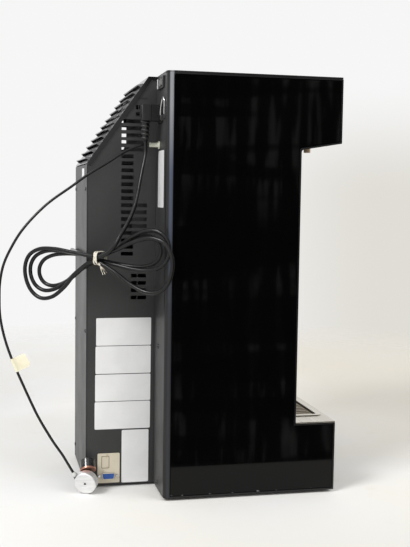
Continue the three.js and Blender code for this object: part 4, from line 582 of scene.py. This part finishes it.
def make_heat_sink():
    """The finned heat sink behind the cabin: a plate, and thin upright fins on it. Above
    the fan the fins are cut back, so that daylight passes between them and the slots."""
    shapes = [stacked(
        (0, 78.1, 496), BACK, UP, 140, 208, 0.8, [(0.4, 3.9), (0.0, 3.5), (0.0, -3.5), (0.4, -3.9)]
    )]
    outline = np.array([
        [81.0, 393.0], [116.6, 393.0], [116.9, 393.6], [116.9, 538.0], [112.6, 543.0],
        [111.4, 546.0], [108.0, 553.0], [107.6, 555.0], [107.6, 598.6], [107.0, 599.2],
        [81.0, 599.2],
    ])
    for across in np.linspace(-69.2, 69.2, 27):
        rows = np.stack([
            np.column_stack([np.full(len(outline), across + side), outline])
            for side in (-0.45, 0.45)
        ])
        shapes.append(skin(rows))
    return fitted("heat_sink_fins", together(shapes), smooth_below=20.0)


def make_plug_clip():
    """The wire that holds the plug in, swung aside: a thin round wire bent in a loop."""
    stops = [
        [-148.6, 87.0, 584.0], [-150.4, 87.4, 592.0], [-154.2, 87.0, 601.5],
        [-159.5, 86.2, 609.5], [-165.0, 85.6, 611.8], [-168.6, 85.2, 607.0],
        [-168.8, 85.0, 599.0], [-166.4, 84.8, 592.0], [-165.6, 84.4, 585.5],
    ]
    path = smooth_route(stops, 1.2)
    points, faces, _ = hose_skin(path, 0.9, 12)
    tall = [(1.4, 5.2), (0.5, 5.0), (0, 4.2), (0, 0.05)]
    low = [(1.2, 2.6), (0.4, 2.4), (0, 1.8), (0, 0.05)]
    eyes = [
        stacked((-149.4, FLANGE_FACE, 582.5), BACK, UP, 7.0, 9.0, 2.4, tall),
        stacked((-165.6, FLANGE_FACE, 583.5), BACK, UP, 6.0, 8.0, 2.2, low),
    ]
    return fitted("plug_clip_wire", (points, faces)), fitted("plug_clip_eyes", together(eyes))


def make_copper_ring():
    """The copper band round the foot of the regulator's barrel, with a fine groove."""
    foot = np.array([-113.8, 190.0, 34.17])
    rise = np.array([math.cos(math.radians(50)), 0.0, math.sin(math.radians(50))])
    profile = [
        (11.2, -0.3), (12.1, -0.3), (12.45, 0.0), (12.45, 0.7), (12.15, 0.95), (12.45, 1.2),
        (12.45, 2.0), (12.2, 2.3), (12.0, 2.35),
    ]
    return fitted("regulator_copper_ring", spun(profile, foot, rise, 56))


def make_gas_fitting():
    """The hose's push-in fitting, slim as the photograph shows it: a washer that covers the
    hole in the rear plate, a thin body, and the ring that frees the hose. Each place of the
    profile is (radius, distance from the plate)."""
    plate_face = np.array([-120.0, FLANGE_FACE + SEAT_GAP, 543.0])
    profile = [
        (2.2, 0.0), (6.2, 0.0), (6.4, 0.3), (6.2, 1.2), (3.6, 1.5), (3.5, 11.4),
        (3.2, 11.8), (2.9, 12.4), (3.7, 13.0), (3.7, 14.4), (3.2, 15.6), (2.2, 16.0),
    ]
    return fitted("gas_fitting_slim", spun(profile, plate_face, (0, 1, 0), 32))


def make_hose_collar():
    """The pale collar that grips the end of the hose."""
    profile = [
        (2.4, -3.2), (4.2, -3.2), (4.4, -2.6), (4.4, -0.6), (3.6, 0.6), (2.7, 3.4), (2.2, 3.6),
    ]
    return fitted("hose_collar", spun(profile, HOSE_END, HOSE_END_WAY, 28))


labels = make_labels()
screws = make_screws()
plate_nuts, plate_window = make_plate_trim()
clip_wire, clip_eyes = make_plug_clip()
socket_shell = make_socket_shell()
# Painted shade: a black strip for the dark of the slot.
slot_shade_strip = make_slot_shade_strip()
heat_sink = make_heat_sink()
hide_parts("heat_sink")
copper_ring = make_copper_ring()
gas_fitting = make_gas_fitting()
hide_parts("gas_fitting")
hose_collar = make_hose_collar()


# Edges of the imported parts

def edge_softener():
    """Nodes that close up a part's loose triangles and shade it smooth across every edge
    that turns by less than 30 degrees."""
    tree = bpy.data.node_groups.new("edge_softener", "GeometryNodeTree")
    for way in ("INPUT", "OUTPUT"):
        tree.interface.new_socket("Geometry", in_out=way, socket_type="NodeSocketGeometry")
    start = tree.nodes.new("NodeGroupInput")
    end = tree.nodes.new("NodeGroupOutput")
    closing = tree.nodes.new("GeometryNodeMergeByDistance")
    closing.inputs["Distance"].default_value = 1e-5
    plain = tree.nodes.new("GeometryNodeRemoveAttribute")
    plain.inputs["Name"].default_value = "custom_normal"
    faces = tree.nodes.new("GeometryNodeSetShadeSmooth")
    faces.domain = "FACE"
    edges = tree.nodes.new("GeometryNodeSetShadeSmooth")
    edges.domain = "EDGE"
    edges.inputs["Shade Smooth"].default_value = False
    angle = tree.nodes.new("GeometryNodeInputMeshEdgeAngle")
    sharp = tree.nodes.new("FunctionNodeCompare")
    sharp.data_type = "FLOAT"
    sharp.operation = "GREATER_THAN"
    sharp.inputs[1].default_value = math.radians(30)
    link = tree.links.new
    link(start.outputs[0], closing.inputs[0])
    link(closing.outputs[0], plain.inputs[0])
    link(plain.outputs[0], faces.inputs[0])
    link(faces.outputs[0], edges.inputs[0])
    link(angle.outputs[0], sharp.inputs[0])
    link(sharp.outputs[0], edges.inputs["Selection"])
    link(edges.outputs[0], end.inputs[0])
    return tree


# How far each kind of part's corners are broken, in millimetres
EDGE_BREAKS = {
    "side_glass_left": 0.5, "side_glass_right": 0.5, "top_cover": 0.6,
    "side_frame_left": 0.5, "side_frame_right": 0.5, "base_front": 0.5, "head_fascia": 0.4,
    "door_frame": 0.5, "base_deck": 0.3, "housing_rear": 0.3, "rear_flange_left": 0.3,
    "rear_flange_right": 0.3, "drip_tray": 0.3, "rocker_switch": 0.4, "power_inlet": 0.4,
    "connector_plate": 0.25, "regulator_knob": 0.3, "display_strip": 0.3,
    "switch_housing": 0.4, "mains_plug": 0.8, "wall_plug": 0.8,
}


def soften_parts():
    """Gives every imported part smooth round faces, and the larger ones broken corners."""
    tree = edge_softener()
    for key, node in nodes.items():
        smooth = node.modifiers.new("smooth_faces", "NODES")
        smooth.node_group = tree
        if key in EDGE_BREAKS:
            bevel = node.modifiers.new("broken_corners", "BEVEL")
            bevel.width = EDGE_BREAKS[key] * MM
            bevel.segments = 2
            bevel.limit_method = "ANGLE"
            bevel.angle_limit = math.radians(40)
            bevel.harden_normals = True


soften_parts()


# Finishes

class Finish:
    """One finish: a shader with its plain values, and short ways to lay grain on it."""

    def __init__(self, name, colour, roughness, metallic=0.0, **sockets):
        self.name = name
        self.material = bpy.data.materials.new(name)
        self.material.use_nodes = True
        self.tree = self.material.node_tree
        self.shader = self.tree.nodes["Principled BSDF"]
        self.colour = colour
        self.shader.inputs["Base Color"].default_value = (*colour, 1.0)
        self.shader.inputs["Roughness"].default_value = roughness
        self.shader.inputs["Metallic"].default_value = metallic
        for words, value in sockets.items():
            self.shader.inputs[words.replace("_", " ")].default_value = value
        self.place = self.tree.nodes.new("ShaderNodeTexCoord").outputs["Object"]
        self.last_bump = None

    def node(self, kind, **values):
        """A node of that kind, with its properties and inputs set by name."""
        made = self.tree.nodes.new("ShaderNode" + kind)
        for key, value in values.items():
            word = key.replace("_", " ")
            if word in made.inputs:
                made.inputs[word].default_value = value
            else:
                setattr(made, key, value)
        return made

    def link(self, source, target):
        """Joins an output to an input."""
        self.tree.links.new(source, target)

    def noise(self, scale, detail=3.0, stretch=(1, 1, 1)):
        """Soft noise over the piece, its places stretched first."""
        mapping = self.node("Mapping")
        mapping.inputs["Scale"].default_value = stretch
        self.link(self.place, mapping.inputs["Vector"])
        made = self.node("TexNoise", Scale=scale, Detail=detail)
        self.link(mapping.outputs["Vector"], made.inputs["Vector"])
        return made.outputs["Fac"]

    def cells(self, scale):
        """The distance to the nearest of many scattered points."""
        made = self.node("TexVoronoi", Scale=scale)
        self.link(self.place, made.inputs["Vector"])
        return made.outputs["Distance"]

    def axis(self, letter):
        """The place along X, Y or Z, in metres."""
        parts = self.node("SeparateXYZ")
        self.link(self.place, parts.inputs[0])
        return parts.outputs[letter]

    def product(self, first, second):
        """One source times another."""
        made = self.node("Math", operation="MULTIPLY")
        self.link(first, made.inputs[0])
        self.link(second, made.inputs[1])
        return made.outputs[0]

    def between(self, source, low, high, start=0.3, end=0.7):
        """low where the source is at start, high where it is at end, blended between."""
        made = self.node("MapRange")
        for key, value in zip(
            ("From Min", "From Max", "To Min", "To Max"), (start, end, low, high)
        ):
            made.inputs[key].default_value = value
        self.link(source, made.inputs["Value"])
        return made.outputs["Result"]

    def tint(self, source, other, start=0.3, end=0.7, amount=1.0):
        """The colour so far, turning into another as the source goes from start to end."""
        fac = self.between(source, 0.0, amount, start, end)
        mix = self.node("Mix", data_type="RGBA")
        base = self.shader.inputs["Base Color"]
        if base.is_linked:
            self.link(base.links[0].from_socket, mix.inputs[6])
        else:
            mix.inputs[6].default_value = (*self.colour, 1.0)
        mix.inputs[7].default_value = (*other, 1.0)
        self.link(fac, mix.inputs[0])
        self.link(mix.outputs[2], base)

    def rough(self, source, low, high):
        """The roughness, going from low to high with the source."""
        self.link(self.between(source, low, high), self.shader.inputs["Roughness"])

    def dents(self, source, strength, distance):
        """Raises the surface by the source, on top of what raises it already."""
        bump = self.node("Bump", Strength=strength, Distance=distance)
        self.link(source, bump.inputs["Height"])
        if self.last_bump is not None:
            self.link(self.last_bump, bump.inputs["Normal"])
        self.last_bump = bump.outputs["Normal"]
        self.link(self.last_bump, self.shader.inputs["Normal"])


def grey(value):
    """A grey of that written shade from 0 to 255, as the light it gives back."""
    part = value / 255
    light = part / 12.92 if part <= 0.04045 else ((part + 0.055) / 1.055) ** 2.4
    return (light, light, light)


def shade(red, green, blue):
    """A colour of those written shades from 0 to 255, as the light it gives back."""
    return (grey(red)[0], grey(green)[0], grey(blue)[0])


def powder_coat(name, colour, roughness, grain=0.35, specular=0.5):
    """Baked paint: a fine orange peel, a little unevenness, and dust in the low places."""
    f = Finish(name, colour, roughness, Specular_IOR_Level=specular)
    peel = f.noise(900.0, 2.0)
    cloud = f.noise(14.0, 4.0)
    lighter = tuple(min(1.0, 1.35 * c + 0.01) for c in colour)
    f.tint(cloud, lighter, 0.35, 0.8, 0.5)
    f.rough(cloud, roughness - 0.04, roughness + 0.07)
    f.dents(peel, grain, 0.00012)
    f.dents(f.noise(60.0, 2.0), 0.10, 0.0004)
    return f


def brushed(name, colour, roughness, stretch, grain=0.2):
    """Metal with fine lines: noise drawn out along one direction, in colour and height."""
    f = Finish(name, colour, roughness, 1.0)
    lines = f.noise(1.0, 3.0, stretch)
    f.tint(lines, tuple(0.78 * c for c in colour), 0.35, 0.75, 0.6)
    f.rough(lines, roughness - 0.06, roughness + 0.10)
    f.dents(lines, grain, 0.00008)
    return f


def moulded(name, colour, roughness, grain=1400.0, height=0.3, **sockets):
    """Moulded plastic: a fine pebble from the tool, with faint clouds in its colour."""
    f = Finish(name, colour, roughness, **sockets)
    lighter = tuple(min(1.0, 1.18 * c + 0.004) for c in colour)
    f.tint(f.noise(22.0, 3.0), lighter, 0.35, 0.75, 0.6)
    f.dents(f.cells(grain), height, 0.00006)
    f.rough(f.noise(45.0, 3.0), roughness - 0.05, roughness + 0.08)
    return f


def mottled(name, colour, roughness, patch, span, grain=None, metallic=0.0, **sockets):
    """A finish with clouds of another colour. patch is the clouds' (scale, detail, colour),
    span how they set in (start, end, amount), and grain (scale, detail, strength, depth)."""
    f = Finish(name, colour, roughness, metallic, **sockets)
    scale, detail, other = patch
    f.tint(f.noise(scale, detail), other, *span)
    if grain:
        scale, detail, strength, depth = grain
        f.dents(f.noise(scale, detail), strength, depth)
    return f


def frame_black():
    """Frame paint. On the left frame's rear edge a painted reflection: lighter, and lighter
    twice more up its height."""
    f = powder_coat("frame_black", grey(22), 0.34, 0.2, 0.35)
    rear_edge_reflection = f.product(
        f.between(f.axis("Y"), 0.0, 1.0, 0.0722, 0.0745),
        f.between(f.axis("X"), 0.0, 1.0, -0.1815, -0.1825),
    )
    # Painted reflection: the rounded rear edge made lighter, bluish at mid height and pale grey
    # near the top.
    f.tint(rear_edge_reflection, shade(40, 42, 46), 0.0, 1.0)
    for colour, foot, top in (
        (shade(70, 78, 96), 0.28, 0.50), (shade(136, 137, 139), 0.50, 0.60),
    ):
        height = f.between(f.axis("Z"), 0.0, 1.0, foot, top)
        f.tint(f.product(rear_edge_reflection, height), colour, 0.0, 1.0)
    return f


def charcoal_sheet():
    """The housing's painted sheet, with pale flecks."""
    f = powder_coat("charcoal_sheet", grey(53), 0.42, 0.45, 0.3)
    f.tint(f.noise(520.0, 2.0), grey(104), 0.66, 0.78, 0.35)
    return f


def louvre_black():
    """The louvre panel's smooth paint, painted lighter all over as a painted sheen of glare,
    and darker on the margin that stands out to the left.
    """
    # Painted sheen: the base grey is far lighter than the black paint and stands for the glare off
    # the slope.
    f = powder_coat("louvre_black", grey(84), 0.13, 0.04, 0.4)
    f.tint(f.axis("X"), grey(12), -0.0936, -0.0942)
    return f


def side_glass():
    """Black gloss with a few pale specks. The left panel's lower edge is worn."""
    f = Finish("side_glass", grey(4), 0.05, Specular_IOR_Level=0.2)
    f.rough(f.noise(9.0, 5.0), 0.03, 0.09)
    f.tint(f.noise(420.0, 2.0), grey(70), 0.80, 0.85, 0.5)
    worn = f.product(
        f.between(f.axis("Z"), 1.0, 0.0, 0.0076, 0.0092),
        f.between(f.noise(150.0, 3.0), 0.0, 1.0, 0.59, 0.70),
    )
    left_panel = f.between(f.axis("X"), 1.0, 0.0, -0.1780, -0.1770)
    f.tint(f.product(worn, left_panel), grey(150), 0.0, 1.0)
    return f


def smoked_glass():
    """The display's dark window."""
    f = Finish("smoked_glass", grey(14), 0.05)
    f.rough(f.noise(12.0), 0.04, 0.10)
    return f


def board_green():
    """The control board, with brassy patches."""
    f = Finish("board_green", shade(22, 74, 44), 0.4)
    f.tint(f.cells(160.0), shade(150, 130, 70), 0.5, 0.56, 0.5)
    return f


def clear_glass():
    """The door's pane."""
    f = Finish("clear_glass", (0.96, 0.99, 0.97), 0.02, Transmission_Weight=1.0, IOR=1.5)
    f.rough(f.noise(8.0, 4.0), 0.0, 0.05)
    return f


def beige_plate():
    """The connector plate, a little stained."""
    f = moulded("beige_plate", shade(214, 205, 184), 0.5)
    f.tint(f.noise(90.0, 4.0), shade(176, 160, 128), 0.62, 0.8, 0.6)
    return f


def label_paper():
    """The labels' glazed paper, with fine dirt."""
    f = Finish("label_paper", grey(238), 0.46, Specular_IOR_Level=0.4)
    f.tint(f.noise(24.0, 4.0), grey(226), 0.35, 0.75, 0.8)
    f.tint(f.noise(340.0, 2.0), shade(206, 202, 192), 0.68, 0.78, 0.4)
    f.dents(f.noise(70.0, 3.0), 0.12, 0.0002)
    return f


def tape_cream():
    """Paper tape, finely creased."""
    f = Finish("tape_cream", shade(246, 240, 214), 0.6, Subsurface_Weight=0.08)
    f.tint(f.noise(60.0, 3.0), shade(226, 214, 178), 0.42, 0.8, 0.7)
    f.dents(f.noise(240.0, 3.0, (1.0, 1.0, 0.3)), 0.25, 0.0002)
    return f


def make_metals():
    """The bare metals: each colour, roughness, the stretch of its lines, and their depth."""
    sheet_lines = (3.0, 700.0, 700.0)
    return [
        brushed("stainless", shade(212, 206, 194), 0.30, sheet_lines),
        brushed("grille_steel", shade(146, 133, 112), 0.42, sheet_lines),
        brushed("aluminium", grey(206), 0.32, (60.0, 60.0, 500.0)),
        brushed("knob_metal", grey(238), 0.44, (60.0, 60.0, 500.0), 0.12),
        # The fins are darker than the aluminium: partly dust, partly painted shade of the housing
        # round them.
        brushed("sink_fins", grey(92), 0.5, (30.0, 30.0, 400.0), 0.1),
        brushed("screw_steel", grey(74), 0.2, (900.0, 900.0, 900.0), 0.1),
        brushed("bright_wire", grey(215), 0.2, (300.0, 300.0, 60.0), 0.1),
        brushed("copper_ring", shade(206, 150, 130), 0.34, (60.0, 900.0, 900.0)),
        mottled(
            "spout_steel", shade(216, 190, 164), 0.42, (160.0, 3.0, shade(186, 158, 132)),
            (0.4, 0.7, 0.6), metallic=0.35,
        ),
    ]


def make_plastics():
    """The moulded plastics: each colour and roughness."""
    return [
        moulded("liner_grey", grey(168), 0.5),
        moulded("silicone", grey(58), 0.55, 800.0),
        moulded("black_plastic", grey(30), 0.45),
        moulded("grey_plastic", grey(120), 0.4),
        moulded("cream_plastic", shade(222, 212, 184), 0.42),
        moulded("blue_plastic", shade(38, 84, 160), 0.4),
        moulded("plate_edge", shade(142, 132, 108), 0.5),
        moulded("collar_clear", shade(206, 208, 204), 0.35),
        moulded("fitting_pale", shade(222, 224, 208), 0.4),
    ]


def make_cord_finishes():
    """The finishes of the cords and of what is on them."""
    return [
        mottled(
            "rubber", grey(12), 0.23, (30.0, 4.0, grey(30)), (0.4, 0.75, 0.6),
            (1200.0, 2.0, 0.25, 0.00006), Specular_IOR_Level=0.34,
        ),
        mottled(
            "hose_black", grey(12), 0.24, (40.0, 3.0, grey(30)), (0.4, 0.8, 0.6),
            (700.0, 2.0, 0.12, 0.00006), Specular_IOR_Level=0.36,
        ),
        mottled(
            "plug_black", grey(12), 0.30, (70.0, 3.0, grey(30)), (0.42, 0.75, 0.6),
            (500.0, 2.0, 0.1, 0.0001), Specular_IOR_Level=0.36,
        ),
        # Painted highlight: the ribs are a lighter copy of the rubber, for the light that they
        # catch.
        mottled("boot_rib_highlight", grey(44), 0.3, (200.0, 2.0, grey(66)), (0.4, 0.7, 0.6)),
        mottled(
            "tie_paper", shade(226, 220, 206), 0.7, (420.0, 3.0, shade(168, 150, 122)),
            (0.45, 0.75, 0.8), (900.0, 2.0, 0.4, 0.0002),
        ),
        mottled(
            "barrel_black", grey(26), 0.14, (90.0, 3.0, grey(52)), (0.45, 0.7, 0.6),
            (240.0, 2.0, 0.1, 0.0002), Specular_IOR_Level=0.7,
        ),
        tape_cream(),
    ]


def make_finishes():
    """Every finish by its name: the material slots' own, and those of single pieces."""
    made = [
        frame_black(), charcoal_sheet(), louvre_black(), side_glass(), smoked_glass(),
        board_green(), clear_glass(), beige_plate(), label_paper(),
        powder_coat("satin_black", grey(26), 0.45, 0.3),
        *make_metals(), *make_plastics(), *make_cord_finishes(),
    ]
    return {finish.name: finish for finish in made}


finishes = make_finishes()


def dress(slot, finish, *some):
    """Gives pieces their finish. slot, the record's slot that it belongs to, is not used."""
    for one in some:
        one.data.materials.append(finishes[finish].material)


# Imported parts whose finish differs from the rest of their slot
OWN_FINISH = {
    "louvre_panel": "louvre_black", "regulator_body": "barrel_black",
    "mains_plug": "plug_black", "drip_grille": "grille_steel",
    "regulator_knob": "knob_metal",
    "spout_1": "spout_steel", "spout_2": "spout_steel", "spout_3": "spout_steel",
}

for key, node in nodes.items():
    slot = node.material_slots[0]
    held = slot.material.name.split(".")[0]
    slot.material = finishes[OWN_FINISH.get(key, held)].material
lead.data.materials.append(finishes["rubber"].material)
hose.data.materials.append(finishes["hose_black"].material)
dress("cream_plastic", "tie_paper", tie)
dress("cream_plastic", "tape_cream", flag)
dress("beige_plate", "label_paper", *labels)
dress("stainless", "screw_steel", *screws)
dress("stainless", "bright_wire", plate_nuts, clip_wire, socket_shell)
dress("aluminium", "sink_fins", heat_sink)
dress("rubber", "boot_rib_highlight", boot_ribs)
dress("black_plastic", "black_plastic", slot_shade_strip)
dress("beige_plate", "plate_edge", plate_window)
dress("black_plastic", "black_plastic", clip_eyes)
dress("aluminium", "copper_ring", copper_ring)
dress("cream_plastic", "collar_clear", hose_collar)
dress("cream_plastic", "fitting_pale", gas_fitting)


# Studio

def combined(tree, operation, first, second):
    """Two outputs joined by one step of arithmetic."""
    made = tree.nodes.new("ShaderNodeMath")
    made.operation = operation
    tree.links.new(first, made.inputs[0])
    tree.links.new(second, made.inputs[1])
    return made.outputs[0]


def eased(tree, source, start, end):
    """0 where the source is at start and 1 where it is at end, eased between."""
    made = tree.nodes.new("ShaderNodeMapRange")
    made.interpolation_type = "SMOOTHSTEP"
    made.inputs["From Min"].default_value = start
    made.inputs["From Max"].default_value = end
    tree.links.new(source, made.inputs["Value"])
    return made.outputs["Result"]


def make_surround():
    """A pale surround, at full strength where the camera, gloss or glass sees it and a
    little less as light. Low down towards the front it turns warmer and darker."""
    world = bpy.data.worlds.new("surround")
    bpy.context.scene.world = world
    world.use_nodes = True
    tree = world.node_tree
    back = tree.nodes["Background"]
    rays = tree.nodes.new("ShaderNodeLightPath").outputs
    seen = combined(tree, "MAXIMUM", rays["Is Camera Ray"], rays["Is Glossy Ray"])
    seen = combined(tree, "MAXIMUM", seen, rays["Is Transmission Ray"])
    level = tree.nodes.new("ShaderNodeMapRange")
    level.inputs["To Min"].default_value = 0.80
    tree.links.new(seen, level.inputs["Value"])
    tree.links.new(level.outputs["Result"], back.inputs["Strength"])
    way = tree.nodes.new("ShaderNodeTexCoord")
    parts = tree.nodes.new("ShaderNodeSeparateXYZ")
    tree.links.new(way.outputs["Generated"], parts.inputs[0])
    frontward = eased(tree, parts.outputs["Y"], -0.20, -0.40)
    low_down = eased(tree, parts.outputs["Z"], 0.12, 0.0)
    mix = tree.nodes.new("ShaderNodeMix")
    mix.data_type = "RGBA"
    mix.inputs[6].default_value = (*grey(246), 1.0)
    mix.inputs[7].default_value = (*shade(224, 221, 214), 1.0)
    tree.links.new(combined(tree, "MULTIPLY", frontward, low_down), mix.inputs[0])
    tree.links.new(mix.outputs[2], back.inputs["Color"])


def lay_floor():
    """A wide round sheet just under the dispenser that fades away far out. Each of its
    rings is (radius, height)."""
    top, under = -0.0004, -0.004
    steps = 96
    turn = np.linspace(0, 2 * math.pi, steps, endpoint=False)
    rows = np.stack([
        np.stack([r * np.cos(turn), r * np.sin(turn), np.full(steps, z)], -1)
        for r, z in (
            (0.3, top), (0.7, top), (1.2, top), (2.2, top), (2.2, under), (1.2, under),
            (0.3, under),
        )
    ])
    points, faces = skin(rows)
    floor = piece("floor", points, faces, None)
    cloth = Finish("floor_paper", grey(242), 0.9, Specular_IOR_Level=0.1)
    cloth.tint(cloth.noise(3.0, 4.0), shade(240, 236, 224), 0.35, 0.7, 0.8)
    cloth.tint(cloth.noise(26.0, 5.0), shade(228, 224, 212), 0.62, 0.8, 0.5)
    # Painted shade: the floor is darker towards the camera, warmer and darker towards the front,
    # and a little darker on the left.
    cloth.tint(cloth.axis("X"), shade(226, 224, 218), -0.16, -0.42)
    cloth.tint(cloth.axis("Y"), shade(232, 224, 208), -0.20, -0.50, 0.55)
    cloth.tint(cloth.axis("Y"), grey(232), 0.05, 0.35, 0.5)
    far = cloth.node("VectorMath", operation="LENGTH")
    cloth.link(cloth.place, far.inputs[0])
    fade = cloth.between(far.outputs["Value"], 1.0, 0.0, 0.55, 1.9)
    cloth.link(fade, cloth.shader.inputs["Alpha"])
    floor.data.materials.append(cloth.material)


def stand_card():
    """A dark card beside the near side, seen only in gloss, with faint streaks and bands
    of its own. It stands for the dim room that such a panel mirrors."""
    y = np.array([-0.7, 0.055, 0.055, -0.7])
    z = np.array([0.0, 0.0, 0.9, 0.9])
    rows = np.stack([np.stack([np.full(4, x), y, z], -1) for x in (-0.36, -0.364)])
    points, faces = skin(rows)
    card = piece("dark_card", points, faces, None)
    felt = Finish("card_felt", grey(64), 1.0, Specular_IOR_Level=0.0)
    felt.tint(felt.noise(1.0, 2.0, (1.0, 64.0, 7.0)), grey(232), 0.52, 0.66)
    felt.tint(felt.noise(1.0, 1.0, (1.0, 2.0, 21.0)), grey(40), 0.47, 0.53, 0.9)
    felt.tint(felt.noise(1.0, 1.0, (1.0, 5.0, 5.0)), grey(20), 0.48, 0.62, 0.9)
    card.data.materials.append(felt.material)
    for ray in ("camera", "diffuse", "transmission", "shadow", "volume_scatter"):
        setattr(card, "visible_" + ray, False)


def hang_lamp(name, where, aim, size, watts):
    """A square soft lamp at one place, aimed at another."""
    light = bpy.data.lights.new(name, "AREA")
    light.size = size
    light.energy = watts
    holder = bpy.data.objects.new(name, light)
    bpy.context.scene.collection.objects.link(holder)
    away = unit(np.subtract(where, aim))
    side = unit(np.cross((0.0, 0.0, 1.0), away))
    pose = np.eye(4)
    pose[:3, 0], pose[:3, 1], pose[:3, 2] = side, np.cross(away, side), away
    pose[:3, 3] = where
    holder.matrix_world = Matrix(pose.tolist())


bpy.context.scene.view_settings.view_transform = "Standard"
make_surround()
lay_floor()
stand_card()
hang_lamp("key_lamp", (-1.7, 2.5, 3.1), (0, 0, 0.35), 1.2, 92.0)
hang_lamp("fill_lamp", (-2.3, -2.3, 2.7), (0, 0, 0.3), 2.2, 42.0)
